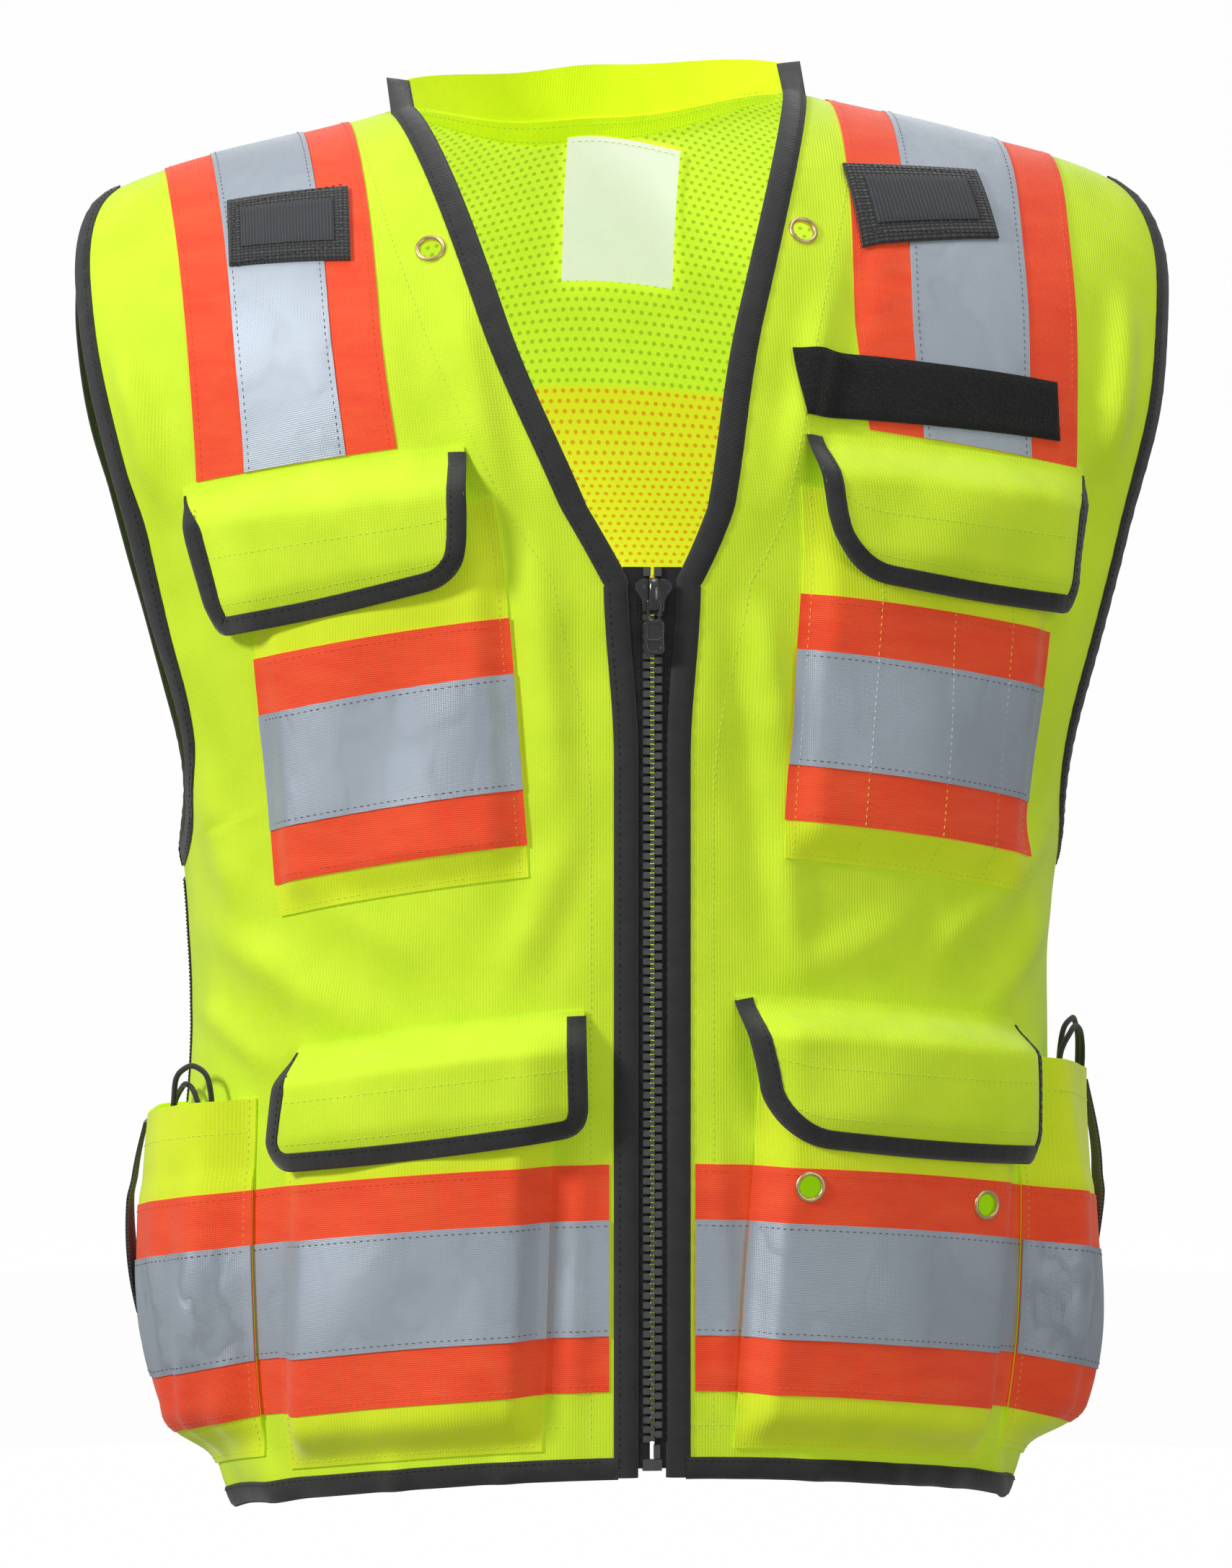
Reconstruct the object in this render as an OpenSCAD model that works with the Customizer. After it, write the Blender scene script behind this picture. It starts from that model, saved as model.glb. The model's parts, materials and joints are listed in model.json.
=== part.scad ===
// Surveyor's high visibility vest, size large, hanging in its worn shape.
// The front faces -Y, the wearer's right is -X and +Z is up. The origin is level with the
// points where the shoulder seams meet the neck, midway between them.
//
// A place on the cloth is given by u, the distance around the body from the front or back
// centre line, and h, the height at the centre line. The sides hang lower than the centre.

/* [Body] */
// Distance from the middle plane to the front of the chest
front_depth = 130; // [124:1:136]
// Distance from the middle plane to the small of the back
waist_depth = 114; // [108:1:120]
// Half width of the neck opening along the shoulder seam
neck_half = 89; // [86:1:92]
// Distance from the shoulder seam down to the bottom of the V
v_drop = 222; // [212:1:230]
// Distance from the shoulder seam down to the front hem
front_len = 616; // [614:1:622]
// Distance from the shoulder seam down to the bottom of the armholes
arm_drop = 315; // [305:1:320]
// How far the armholes are cut in from the sides
arm_cut = 54; // [45:1:60]
// Thickness of the panel cloth
cloth_t = 1.6; // [1.2:0.1:1.8]
// Width of the black edge binding
binding_w = 10; // [8:0.5:11]
// Height of the collar at the back of the neck
collar_h = 25; // [18:1:30]

/* [Reflective tape] */
// Width of the orange backing tape
orange_w = 100; // [90:1:102]
// Width of the silver tape
silver_w = 51; // [44:1:54]
// Distance from the shoulder seam down to the middle of the waist tape
waist_tape_drop = 529; // [526:1:532]
// Height of the middle of the back band below the shoulder seam
back_band_drop = 172; // [165:1:180]
// Distance from the front centre line to the middle of each shoulder tape
shoulder_tape_u = 157; // [155:1:159]

/* [Chest pockets] */
// Inner edge of each chest pocket at its mouth
chest_u = 70; // [66:1:72]
// Width of each chest pocket
chest_w = 117; // [110:1:120]
// Distance from the shoulder seam down to the mouth of the left chest pocket
chest_mouth = 188; // [184:1:190]
// Length of the chest pockets
chest_len = 152; // [150:1:156]
// How far the chest pockets stand out
chest_depth = 12; // [8:1:13]
// How much lower the right chest pocket sits
chest_step = 13; // [10:1:14]

/* [Lower pockets] */
// Inner edge of each lower pocket at its mouth
lower_u = 46; // [44:1:48]
// Width of each lower pocket
lower_w = 121; // [116:1:123]
// Distance from the shoulder seam down to the mouth of the lower pockets
lower_mouth = 426; // [424:1:430]
// Length of the lower pockets
lower_len = 178; // [174:1:180]
// How far the lower pockets stand out
lower_depth = 15; // [12:1:16]

/* [Side pockets] */
// Front edge of each side pocket
side_u = 185; // [184:1:187]
// Width of each side pocket
side_w = 127; // [120:1:130]
// Distance from the shoulder seam down to the mouth of the left side pocket
side_mouth = 420; // [416:1:424]
// How much lower the mouth of the right side pocket sits
side_step = 18; // [12:1:20]
// Height of the bottom of the side pockets below the shoulder seam
side_bottom = 597; // [594:1:600]
// How far the side pockets stand out
side_depth = 16; // [14:1:18]

/* [Zipper] */
// Distance from one tooth to the next on one side
tooth_pitch = 4.2; // [4:0.1:4.6]
// Width of the closed row of teeth
chain_w = 8.4; // [8:0.1:8.8]
// Distance from the shoulder seam down to the bottom of the zipper
zip_bottom = 614; // [612:1:616]

/* [Hidden] */

LIME = [0.80, 1.00, 0.18];
ORANGE = [1.00, 0.28, 0.12];
SILVER = [0.68, 0.73, 0.77];
BLACK = [0.15, 0.16, 0.16];
BRASS = [0.80, 0.66, 0.35];
WHITE = [0.93, 0.93, 0.92];
DEG = 180 / PI;

// Half widths of the body every 60 mm of height, from 660 below the shoulder seam up
BODY_HALVES = [165, 184, 197, 200, 198, 198, 204, 224, 243, 260, 268, 268, 268];
LEVEL_STEP = 60;
LOWEST_LEVEL = -660;
FLAT_ANGLE = 30;
RIDGE_Y = 12;
FRONT_DOME = -190;
FRONT_DOME_LEN = 216;
BACK_DOME = -150;
BACK_DOME_LEN = 205;
FRONT_TOP = FRONT_DOME + FRONT_DOME_LEN;
BACK_TOP = BACK_DOME + BACK_DOME_LEN;
SHOULDER_SLOPE = 0.25;
FRONT_DROOP = 26;
BACK_DROOP = 8;
NECK_PHI = 60;
SHOULDER_CUT = 20;

// The vest hangs a little to the wearer's right at the neck, and its left shoulder sits up
NECK_LEAN = -11.5;
SHOULDER_LIFT = 10;
// 1 on the wearer's left, where the modules draw, and -1 in the mirrored copies
$hand = 1;

// Layers, as distances out from the inner face of the panels
gap = 0.5;
tape_gap = 0.9;
tape_t = 0.7;
trim_t = 0.7;
orange_off = cloth_t + tape_gap;
silver_off = orange_off + tape_t + 0.5;
webbing_off = silver_off + tape_t + 0.6;
rim = cloth_t + gap + cloth_t;

// Heights and places worked out from the driving dimensions
v_h = -v_drop;
hem_h = -front_len;
arm_h = -arm_drop;
waist_h = -waist_tape_drop;
band_h = -back_band_drop;
zip_half_gap = 7;
v_half = 11.5;
ZIP_FLARE = 78;
V_POWER = 1.7;

// Flap outlines as inner u, outer u, height of the top edge and length
CHEST_FLAP_RIGHT = [74, 211, -170, 56];
CHEST_FLAP_LEFT = [75, 210, -164, 55];
LOWER_FLAP_RIGHT = [29, 165, -412, 58];
LOWER_FLAP_LEFT = [37, 183, -405, 66];
FLAP_RISE = 18;
FLAP_FALL = [4, 8.5, 13, 18];
flap_clear = 3.2;
hook_w = 20;

// Zipper slider, measured from its own centre
slider_h = -229;
slider_len = 15;
slider_w = 16;
plate_t = 1.4;
tooth_back = -2.2;
tooth_front = 1.2;
plate_front = 3.2;
plate_back = -2.6;
post_w = 1;
lane = 1.6;
pull_off = plate_front + plate_t + 1.5;
pull_r = 0.9;
pull_len = 27;
pull_w = 9;

// Grommets as u and h of their centres
bore_r = 4.8;
GROMMET_R = 6.9;
hole_r = 6.2;
CHEST_GROMMET_U = 84;
function chest_grommet_h() = $hand < 0 ? -100 : -97;
POCKET_GROMMETS = [[65, -487], [150, -490]];

// Routes of the elastic cords that stand out of the side pockets
cord_d = 2.6;
CORD_RIGHT = [
    [-191, -58, -499], [-191, -58, -481], [-191, -59, -465], [-191, -60, -453],
    [-193, -57, -443], [-198, -51, -439], [-202, -44, -440], [-206, -37, -445],
    [-207, -33, -456], [-208, -32, -469], [-207, -32, -481], [-208, -30, -490],
    [-208, -24, -495], [-208, -18, -490], [-207, -16, -480], [-207, -15, -467],
    [-206, -17, -457], [-203, -23, -450], [-201, -30, -448], [-198, -38, -451],
    [-196, -44, -459], [-195, -46, -471], [-196, -46, -487], [-196, -46, -501]
];
CORD_LEFT = [
    [195, -52, -492], [195, -52, -476], [194, -52, -460], [195, -52, -446],
    [197, -49, -434], [202, -44, -426], [206, -36, -423], [210, -27, -426],
    [212, -21, -434], [212, -19, -445], [211, -18, -458], [212, -17, -468],
    [212, -14, -476], [212, -9, -479], [212, -4, -476], [212, -1, -467],
    [213, -1, -452], [213, -4, -438], [212, -9, -428], [209, -17, -421],
    [206, -26, -420], [201, -34, -424], [198, -40, -434], [197, -42, -448],
    [196, -43, -463], [197, -44, -479], [197, -44, -493]
];

// ---------- Shape of the body ----------

function clamp(x, lo, hi) = min(hi, max(lo, x));
function mix(a, b, t) = a + (b - a) * t;
function unit(v) = v / norm(v);
// Smooth step from 0 at a to 1 at b
function ease(a, b, x) = let (t = clamp((x - a) / (b - a), 0, 1)) t * t * (3 - 2 * t);
// Evenly spaced numbers from a to b
function steps(a, b, n) = [for (i = [0:n]) mix(a, b, i / n)];
// Smooth curve through the middle two of four points
function spline(p0, p1, p2, p3, t) =
    0.5 * (2 * p1 + (p2 - p0) * t + (2 * p0 - 5 * p1 + 4 * p2 - p3) * t * t
    + (3 * p1 - p0 - 3 * p2 + p3) * t * t * t);

// Half width of the body at height h
function half_w(h) =
    let (
        last = len(BODY_HALVES) - 1,
        s = clamp((h - LOWEST_LEVEL) / LEVEL_STEP, 0, last - 0.001),
        i = floor(s)
    )
    spline(BODY_HALVES[max(0, i - 1)], BODY_HALVES[i], BODY_HALVES[i + 1],
        BODY_HALVES[min(last, i + 2)], s - i);
// Distance from the middle plane to the front (side 1) or back (side -1) centre line
function half_d(side, h) =
    side > 0 ? front_depth
    : mix(waist_depth + 10 * ease(-480, -200, h), front_depth, ease(BACK_DOME, BACK_TOP, h));
// Radius of the tight end arcs of the body's oval section
function end_r(a, b) =
    b - (a - b) * (1 - cos(FLAT_ANGLE)) / (sin(FLAT_ANGLE) + cos(FLAT_ANGLE) - 1);
// Radius of the flat arcs of the body's oval section
function flat_r(a, b) = end_r(a, b) + (a - b) / (sin(FLAT_ANGLE) + cos(FLAT_ANGLE) - 1);
// Distance around a quarter of the oval
function quarter(a, b) =
    (flat_r(a, b) * FLAT_ANGLE + end_r(a, b) * (90 - FLAT_ANGLE)) / DEG;
// Distance around the body from the centre line to the side seam
function seam_u(side, h) = quarter(half_w(h), half_d(side, h));
// Point [x, depth] on the oval at distance u from its centre line
function oval(a, b, u) =
    let (
        r2 = end_r(a, b),
        r1 = flat_r(a, b),
        flat_len = r1 * FLAT_ANGLE / DEG,
        v = abs(u),
        bend = FLAT_ANGLE + (v - flat_len) / r2 * DEG,
        x = v < flat_len ? r1 * sin(v / r1 * DEG) : a - r2 + r2 * sin(bend),
        y = v < flat_len ? r1 * cos(v / r1 * DEG) - (r1 - b) : r2 * cos(bend)
    )
    [sign(u) * x, y];
// Height of the shoulder seam at distance x from the middle
function shoulder_z(x) =
    let (r = sqrt(x * x + 900))
    -SHOULDER_SLOPE * (r - 91) + 2.7 * ln(1 + exp((91 - r) / 12))
    - 10 * pow(max(0, r - 91) / 160, 6);
// Point on the inner face of the cloth: side 1 is the front and side -1 the back
function chart(side, u, h) =
    let (
        start = side > 0 ? FRONT_DOME : BACK_DOME,
        dome_len = side > 0 ? FRONT_DOME_LEN : BACK_DOME_LEN,
        p = oval(half_w(h), half_d(side, h), u),
        w = min(1, abs(u) / seam_u(side, h)),
        dip = side > 0 ? FRONT_DROOP * (1 - cos(90 * w))
            : mix(BACK_DROOP, FRONT_DROOP, 1 - cos(90 * w)),
        phi = 90 * clamp((h - start) / dome_len, 0, 1),
        ridge = -side * RIDGE_Y,
        depth = ridge + (p.y - ridge) * cos(phi),
        z = phi > 0 ? start + (shoulder_z(p.x) - start) * sin(phi) - dip * cos(phi) : h - dip,
        lean = NECK_LEAN * ease(v_h, -105, z) * (1 - ease(90, 210, abs(p.x))),
        lift = SHOULDER_LIFT * ease(-170, -30, z) * ease(-40, 130, $hand * p.x)
    )
    [p.x + $hand * lean, -side * depth, z + lift];
// Outward direction of the cloth
function normal(side, u, h) =
    side * unit(cross(chart(side, u + 0.5, h) - chart(side, u - 0.5, h),
        chart(side, u, h + 0.5) - chart(side, u, h - 0.5)));
// Point at distance off out from the cloth's inner face
function pt(side, u, h, off) = chart(side, u, h) + off * normal(side, u, h);
// The same with u running on round the side, the back and the other side
function ring_pt(u, h, off) =
    let (uf = seam_u(1, h), ub = seam_u(-1, h))
    u <= uf ? pt(1, u, h, off)
    : u <= uf + 2 * ub ? pt(-1, uf + ub - u, h, off)
    : pt(1, u - 2 * (uf + ub), h, off);
// The same with g running up the front, over the shoulder and down the back
function over_pt(u, g, off) =
    g <= FRONT_TOP ? pt(1, u, g, off) : pt(-1, u, BACK_TOP - (g - FRONT_TOP), off);
// Distance right round the body
function girth(h) = 2 * (seam_u(1, h) + seam_u(-1, h));

// Inner edge of a front panel: beside the zipper, then up the V to the neck
function front_in(h) =
    h <= v_h ? mix(zip_half_gap + 1, v_half + 1, ease(v_h - ZIP_FLARE, v_h, h))
    : mix(v_half + 1, neck_half, 1 - pow(1 - (h - v_h) / (FRONT_TOP - v_h), V_POWER));
// Edge of the armhole, or the side seam below it
function arm_edge(side, h) =
    let (
        top = side > 0 ? FRONT_TOP : BACK_TOP,
        t = clamp((h - arm_h) / (top - arm_h), 0, 1),
        s = min(1, t / 0.22)
    )
    seam_u(side, h) - arm_cut * sqrt(1 - (1 - s) * (1 - s)) - SHOULDER_CUT * pow(t, 10);
// Height of the back panel's top edge: the neckline, or the shoulder seam outside it
function back_edge(u) =
    let (s = min(1, abs(u) / neck_half))
    BACK_DOME + BACK_DOME_LEN * (NECK_PHI + (90 - NECK_PHI) * pow(s, 2.2)) / 90;

// ---------- Solids made of cloth ----------

// Closed sheet between two grids of points, with rows going up and columns to the left
// side of the wearer, so that the outer grid is seen clockwise
module sheet(outer, inner) {
    rows = len(outer) - 1;
    cols = len(outer[0]) - 1;
    n = (rows + 1) * (cols + 1);
    o = function(i, j) i * (cols + 1) + j;
    q = function(i, j) n + i * (cols + 1) + j;
    quads = concat(
        [for (i = [0:rows - 1], j = [0:cols - 1])
            [o(i, j), o(i + 1, j), o(i + 1, j + 1), o(i, j + 1)]],
        [for (i = [0:rows - 1], j = [0:cols - 1])
            [q(i, j), q(i, j + 1), q(i + 1, j + 1), q(i + 1, j)]],
        [for (j = [0:cols - 1]) [o(0, j), o(0, j + 1), q(0, j + 1), q(0, j)]],
        [for (j = [0:cols - 1]) [o(rows, j + 1), o(rows, j), q(rows, j), q(rows, j + 1)]],
        [for (i = [0:rows - 1]) [o(i + 1, 0), o(i, 0), q(i, 0), q(i + 1, 0)]],
        [for (i = [0:rows - 1])
            [o(i, cols), o(i + 1, cols), q(i + 1, cols), q(i, cols)]]
    );
    polyhedron(
        points = concat([for (row = outer) each row], [for (row = inner) each row]),
        faces = [for (f = quads) each [[f[0], f[1], f[2]], [f[0], f[2], f[3]]]]
    );
}

// Patch of cloth round the body from u0 to u1 and h0 to h1
module ring_patch(u0, u1, h0, h1, off, t, nu, nh) {
    at = function(d) [for (h = steps(h0, h1, nh)) [for (u = steps(u0, u1, nu)) ring_pt(u, h, d)]];
    sheet(at(off + t), at(off));
}

// Copy for the wearer's right side
module right() {
    $hand = -1;
    mirror([1, 0, 0]) children();
}

module both() {
    children();
    right() children();
}

// Frame on the front with Z out of the cloth and X along it
module on_front(u, h, off) {
    n = normal(1, u, h);
    x = unit(cross([0, 0, 1], n));
    y = cross(n, x);
    p = pt(1, u, h, off);
    multmatrix([
        [x.x, y.x, n.x, p.x], [x.y, y.y, n.y, p.y], [x.z, y.z, n.z, p.z], [0, 0, 0, 1]
    ]) children();
}

// ---------- Panels ----------

module front_panel() {
    levels = concat(
        steps(hem_h, arm_h, 12),
        [for (i = [1:4]) mix(arm_h, v_h, i * i / 16)],
        [mix(v_h, FRONT_DOME, 0.5)],
        steps(FRONT_DOME, FRONT_TOP, 9)
    );
    at = function(d)
        [for (h = levels) [for (u = steps(front_in(h), arm_edge(1, h), 15)) pt(1, u, h, d)]];
    color(LIME) difference() {
        sheet(at(cloth_t), at(0));
        on_front(CHEST_GROMMET_U, chest_grommet_h(), -3) cylinder(h = 9, r = hole_r, $fn = 48);
    }
}

module back_panel() {
    split = -200;
    levels = concat(
        steps(hem_h, arm_h, 12),
        [for (i = [1:7]) mix(arm_h, split, i * i / 49)],
        [for (i = [1:14]) mix(split, BACK_TOP, i / 14)]
    );
    across = concat(steps(1, 1 / 3, 8), steps(1 / 3, -1 / 3, 10), steps(-1 / 3, -1, 8));
    // Place across the panel: the middle third widens to the neck at the top
    place = function(w, h)
        let (
            edge = arm_edge(-1, h),
            third = mix(edge / 3, neck_half, ease(split, BACK_TOP, h)),
            v = abs(w)
        )
        sign(w) * (v <= 1 / 3 ? v * 3 * third : mix(third, edge, (v - 1 / 3) * 1.5));
    height = function(w, h)
        h <= split ? h : mix(split, back_edge(place(w, BACK_TOP)), (h - split) / (BACK_TOP - split));
    at = function(d)
        [for (h = levels) [for (w = across) pt(-1, place(w, h), height(w, h), d)]];
    color(LIME) sheet(at(cloth_t), at(0));
}

// Stand-up collar round the back of the neck
module neck_collar() {
    rise = function(u) mix(collar_h, 17, pow(abs(u) / neck_half, 2));
    at = function(d)
        [for (k = [0:4]) [for (u = steps(neck_half, -neck_half, 18))
            let (
                base = pt(-1, u, back_edge(u), cloth_t / 2),
                away = unit([base.x, base.y - RIDGE_Y + 2, 0])
            )
            base + [0, 0, 1.6 + k / 4 * rise(u)] + away * (d - k / 4 * 5)]];
    color(LIME) sheet(at(cloth_t / 2), at(-cloth_t / 2));
}

// Strip inside the back of the neck that the label is sewn under
module neck_facing() {
    at = function(d)
        [for (k = [0:1]) [for (u = steps(neck_half - 4, 4 - neck_half, 18))
            pt(-1, u, back_edge(u) - 12 + 10 * k, d)]];
    color(LIME) sheet(at(-1.2), at(-1.9));
}

// ---------- Bindings ----------

module front_binding() {
    low = steps(-zip_bottom, v_h, 12);
    high = steps(v_h, FRONT_TOP, 14);
    levels = concat(low, [for (i = [1:14]) high[i]]);
    places = [for (h = levels) [[front_in(h) - 1, h], [front_in(h) - 1 + binding_w, h]]];
    at = function(d) concat(
        [for (p = places) [for (q = p) over_pt(q[0], q[1], d)]],
        [for (k = [1:3])
            let (p = places[len(places) - 1])
            [for (q = p) over_pt(q[0], q[1], d) + [-k, 0, 6 * k]]]
    );
    color(BLACK) sheet(at(orange_off + trim_t), at(orange_off));
}

module armhole_binding() {
    across = function(side, h)
        let (
            e = 0.4,
            lo = max(arm_h, h - e),
            t = unit([arm_edge(side, h + e) - arm_edge(side, lo), h + e - lo])
        )
        [t.y, -t.x];
    rows = [for (i = [0:17]) (1 - cos(180 * i / 17)) / 2];
    edge = function(side, f, d, w)
        let (h = mix(arm_h, side > 0 ? FRONT_TOP : BACK_TOP, f), n = across(side, h))
        pt(side, arm_edge(side, h) + w * n.x, min(h + w * n.y, side > 0 ? FRONT_TOP : BACK_TOP),
            side > 0 ? d : d + gap);
    at = function(d) concat(
        [for (f = rows) [edge(1, f, d, 1 - binding_w), edge(1, f, d, 1)]],
        [for (i = [1:17]) let (f = rows[17 - i]) [edge(-1, f, d, 1 - binding_w), edge(-1, f, d, 1)]]
    );
    color(BLACK) sheet(at(orange_off + trim_t), at(orange_off));
}

module hem_binding() {
    start = zip_half_gap + binding_w + 1;
    at = function(d)
        [for (h = [hem_h - 2, hem_h + binding_w - 2])
            [for (s = steps(0, 1, 44))
                ring_pt(mix(start, girth(h) - start, s), h, d)]];
    color(BLACK) sheet(at(orange_off + trim_t), at(orange_off));
}

// ---------- Front zipper ----------

module zipper_tape() {
    color(BLACK)
        translate([chain_w / 2 + 0.1, -front_depth + 0.4, -zip_bottom])
            cube([8.5, 1, zip_bottom - v_drop - 2]);
}

// One moulded tooth, with its root on the tape and its head in the middle
module tooth() {
    root = chain_w / 2;
    head = lane / 2;
    rotate([90, 0, 0])
        linear_extrude(tooth_front - tooth_back)
            polygon([
                [root, -1.1], [root, 1.1], [root - 1.5, 1.1], [head + 1.3, 0.6],
                [head + 1.1, 1], [head, 0.8], [head, -0.8], [head + 1.1, -1],
                [head + 1.3, -0.6], [root - 1.5, -1.1]
            ]);
}

module zipper_teeth(shift) {
    first = -zip_bottom + 14 + shift;
    count = floor((slider_h - slider_len / 2 - 3 - first) / tooth_pitch);
    color(BLACK)
        for (i = [0:count])
            translate([0, -front_depth - tooth_back, first + i * tooth_pitch]) tooth();
}

module zipper_top_stops() {
    color(BLACK) both()
        translate([lane / 2, -front_depth - tooth_front, v_h + 1.4])
            cube([3.2, tooth_front - tooth_back, 4]);
}

module zipper_insertion_pin() {
    color(BLACK)
        translate([lane / 2, -front_depth - tooth_front, -zip_bottom + 5.4])
            cube([2.6, tooth_front - tooth_back, 6]);
}

module zipper_retainer_box() {
    color(BLACK)
        translate([-chain_w / 2, -front_depth - tooth_front, -zip_bottom])
            cube([chain_w, tooth_front - tooth_back, 5]);
}

// Outline of a slider plate: two rounded lobes above a narrower heel
module slider_plate() {
    lobe = 4.2;
    heel = slider_w / 2 - 3;
    half = slider_len / 2;
    arc = [for (a = [0:15:120])
        [slider_w / 2 - lobe + lobe * cos(a), half - lobe + lobe * sin(a)]];
    side = concat([[heel, -half], [heel, -half + 5]], arc);
    linear_extrude(plate_t)
        polygon(concat(side, [for (i = [len(side) - 1:-1:0]) [-side[i].x, side[i].y]]));
}

module zipper_slider() {
    color(BLACK) translate([0, -front_depth, slider_h]) rotate([90, 0, 0]) {
        translate([0, 0, plate_front]) slider_plate();
        translate([0, 0, plate_back - plate_t]) slider_plate();
        translate([-post_w / 2, 2, plate_back - 0.1])
            cube([post_w, 4, plate_front - plate_back + 0.2]);
        difference() {
            translate([-1.2, -6, plate_front + plate_t - 0.1]) cube([2.4, 12, 4.5]);
            translate([-2, -4.4, plate_front + plate_t]) cube([4, 8.8, 2.9]);
        }
    }
}

module zipper_pull() {
    arm_x = 1.8;
    arm_w = 1.3;
    neck = 8;
    color(BLACK) translate([0, -front_depth - pull_off, slider_h - 3]) {
        translate([-arm_x - arm_w, 0, 0])
            rotate([0, 90, 0]) cylinder(h = 2 * (arm_x + arm_w), r = pull_r, $fn = 32);
        for (x = [-arm_x - arm_w, arm_x])
            translate([x, -pull_r, -neck - 1]) cube([arm_w, 2 * pull_r, neck + 1]);
        translate([-pull_w / 2, -pull_r, -pull_len]) cube([pull_w, 2 * pull_r, pull_len - neck]);
    }
}

// ---------- Tape on the panels ----------

// From just above a chest flap, over the shoulder, to just above the back band, leaning
// out by the given distance on its way up the front
module shoulder_band(flap, lean_out, w, off) {
    end = FRONT_TOP + BACK_TOP - (band_h + orange_w / 2) - 2;
    middle = function(g) shoulder_tape_u + lean_out * ease(flap[2], FRONT_TOP, g);
    at = function(d)
        [for (g = steps(flap[2] + 3, end, 24))
            [for (u = steps(-w / 2, w / 2, 8)) over_pt(middle(g) + u, g, d)]];
    sheet(at(off + tape_t), at(off));
}

module shoulder_tape_orange() {
    color(ORANGE) {
        right() shoulder_band(CHEST_FLAP_RIGHT, 10, orange_w, orange_off);
        shoulder_band(CHEST_FLAP_LEFT, 1, orange_w, orange_off);
    }
}

module shoulder_tape_silver() {
    color(SILVER) {
        right() shoulder_band(CHEST_FLAP_RIGHT, 10, silver_w, silver_off);
        shoulder_band(CHEST_FLAP_LEFT, 1, silver_w, silver_off);
    }
}

// The waist tape shows on the panel between the zipper and the lower pocket, and between
// the lower pocket and the side pocket
module waist_front(w, off) {
    ring_patch(zip_half_gap + binding_w + 2, lower_u - 12, waist_h - w / 2, waist_h + w / 2,
        off, tape_t, 2, 3);
    ring_patch(lower_u + lower_w + 14, side_u - 1, waist_h - w / 2, waist_h + w / 2,
        off, tape_t, 1, 3);
}

module waist_tape_orange() {
    color(ORANGE) both() waist_front(orange_w, orange_off);
}

module waist_tape_silver() {
    color(SILVER) both() waist_front(silver_w, silver_off);
}

// Waist band round the back, and the band across the shoulder blades
module back_bands(w, off) {
    start = side_u + side_w + 2;
    low = function(d)
        [for (h = steps(waist_h - w / 2, waist_h + w / 2, 3))
            [for (s = steps(0, 1, 24)) ring_pt(mix(start, girth(h) - start, s), h, d)]];
    sheet(low(off + tape_t), low(off));
    high = function(d)
        [for (h = steps(band_h - w / 2, band_h + w / 2, 5))
            [for (s = steps(1, -1, 24)) pt(-1, s * (arm_edge(-1, h) - binding_w - 2), h, d)]];
    sheet(high(off + tape_t), high(off));
}

module back_tape_orange() {
    color(ORANGE) back_bands(orange_w, orange_off);
}

module back_tape_silver() {
    color(SILVER) back_bands(silver_w, silver_off);
}

// ---------- Pockets ----------

// A pocket is [u0, width, bottom, mouth, slant, depth, ramp]: the slant is how far the
// edges lean out for each millimetre up, and the ramp is the width of the rounded sides
CHEST_RIGHT = [chest_u - 3, chest_w, -chest_mouth - chest_step - chest_len - 2,
    -chest_mouth - chest_step / 2, 0.08, chest_depth, 9];
CHEST_LEFT = [chest_u, chest_w + 9, -chest_mouth - chest_len - 5, -chest_mouth, 0.07, chest_depth, 9];
LOWER_RIGHT = [lower_u - 3, lower_w, -lower_mouth - lower_len, -lower_mouth, -0.03, lower_depth, 11];
LOWER_LEFT = [lower_u + 3, lower_w + 9, -lower_mouth - lower_len, -lower_mouth, 0.07, lower_depth, 11];
SIDE_RIGHT = [side_u, side_w, -side_bottom, -side_mouth - side_step, 0, side_depth, 22];
SIDE_LEFT = [side_u, side_w, -side_bottom, -side_mouth, 0, side_depth, 22];

// Places across a pocket, from 0 to 1, closer together where its sides curve
function pocket_cols(p) =
    let (r = p[6] / p[1])
    concat([0, r / 3, r * 2 / 3, r], [for (i = [1:4]) mix(r, 1 - r, i / 5)],
        [1 - r, 1 - r * 2 / 3, 1 - r / 3, 1]);
function pocket_rows(p) =
    concat([p[2], p[2] + p[6] / 3, p[2] + p[6] * 2 / 3], steps(p[2] + p[6], p[3], 7));
function pocket_u(p, c, h) = p[0] + p[4] * (h - p[3]) + c * p[1];
// Height of the pocket's outer face above the panel's inner face
function pocket_off(p, c, h) =
    rim + p[5] * ease(0, p[6], c * p[1]) * ease(0, p[6], (1 - c) * p[1])
    * ease(0, p[6], h - p[2]);

// Pocket wall, open at its mouth
module pocket(p) {
    inset = cloth_t / p[1];
    outer = [for (h = pocket_rows(p)) [for (c = pocket_cols(p))
        ring_pt(pocket_u(p, c, h), h, pocket_off(p, c, h))]];
    inner = [for (h = pocket_rows(p)) [for (c = pocket_cols(p))
        let (k = mix(inset, 1 - inset, c), g = mix(p[3], h, 1 - cloth_t / (p[3] - p[2])))
        ring_pt(pocket_u(p, k, h), h <= p[2] ? h + cloth_t : g, pocket_off(p, c, h) - cloth_t)]];
    sheet(outer, inner);
}

// Strip across a pocket's face
module pocket_strip(p, c0, c1, h0, h1, off, t) {
    inside = [for (c = pocket_cols(p)) if (c > c0 && c < c1) c];
    cols = concat([c0], inside, [c1]);
    at = function(d) [for (h = steps(h0, h1, 4)) [for (c = cols)
        ring_pt(pocket_u(p, c, h), h, pocket_off(p, c, h) + d)]];
    sheet(at(off + t), at(off));
}

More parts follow.
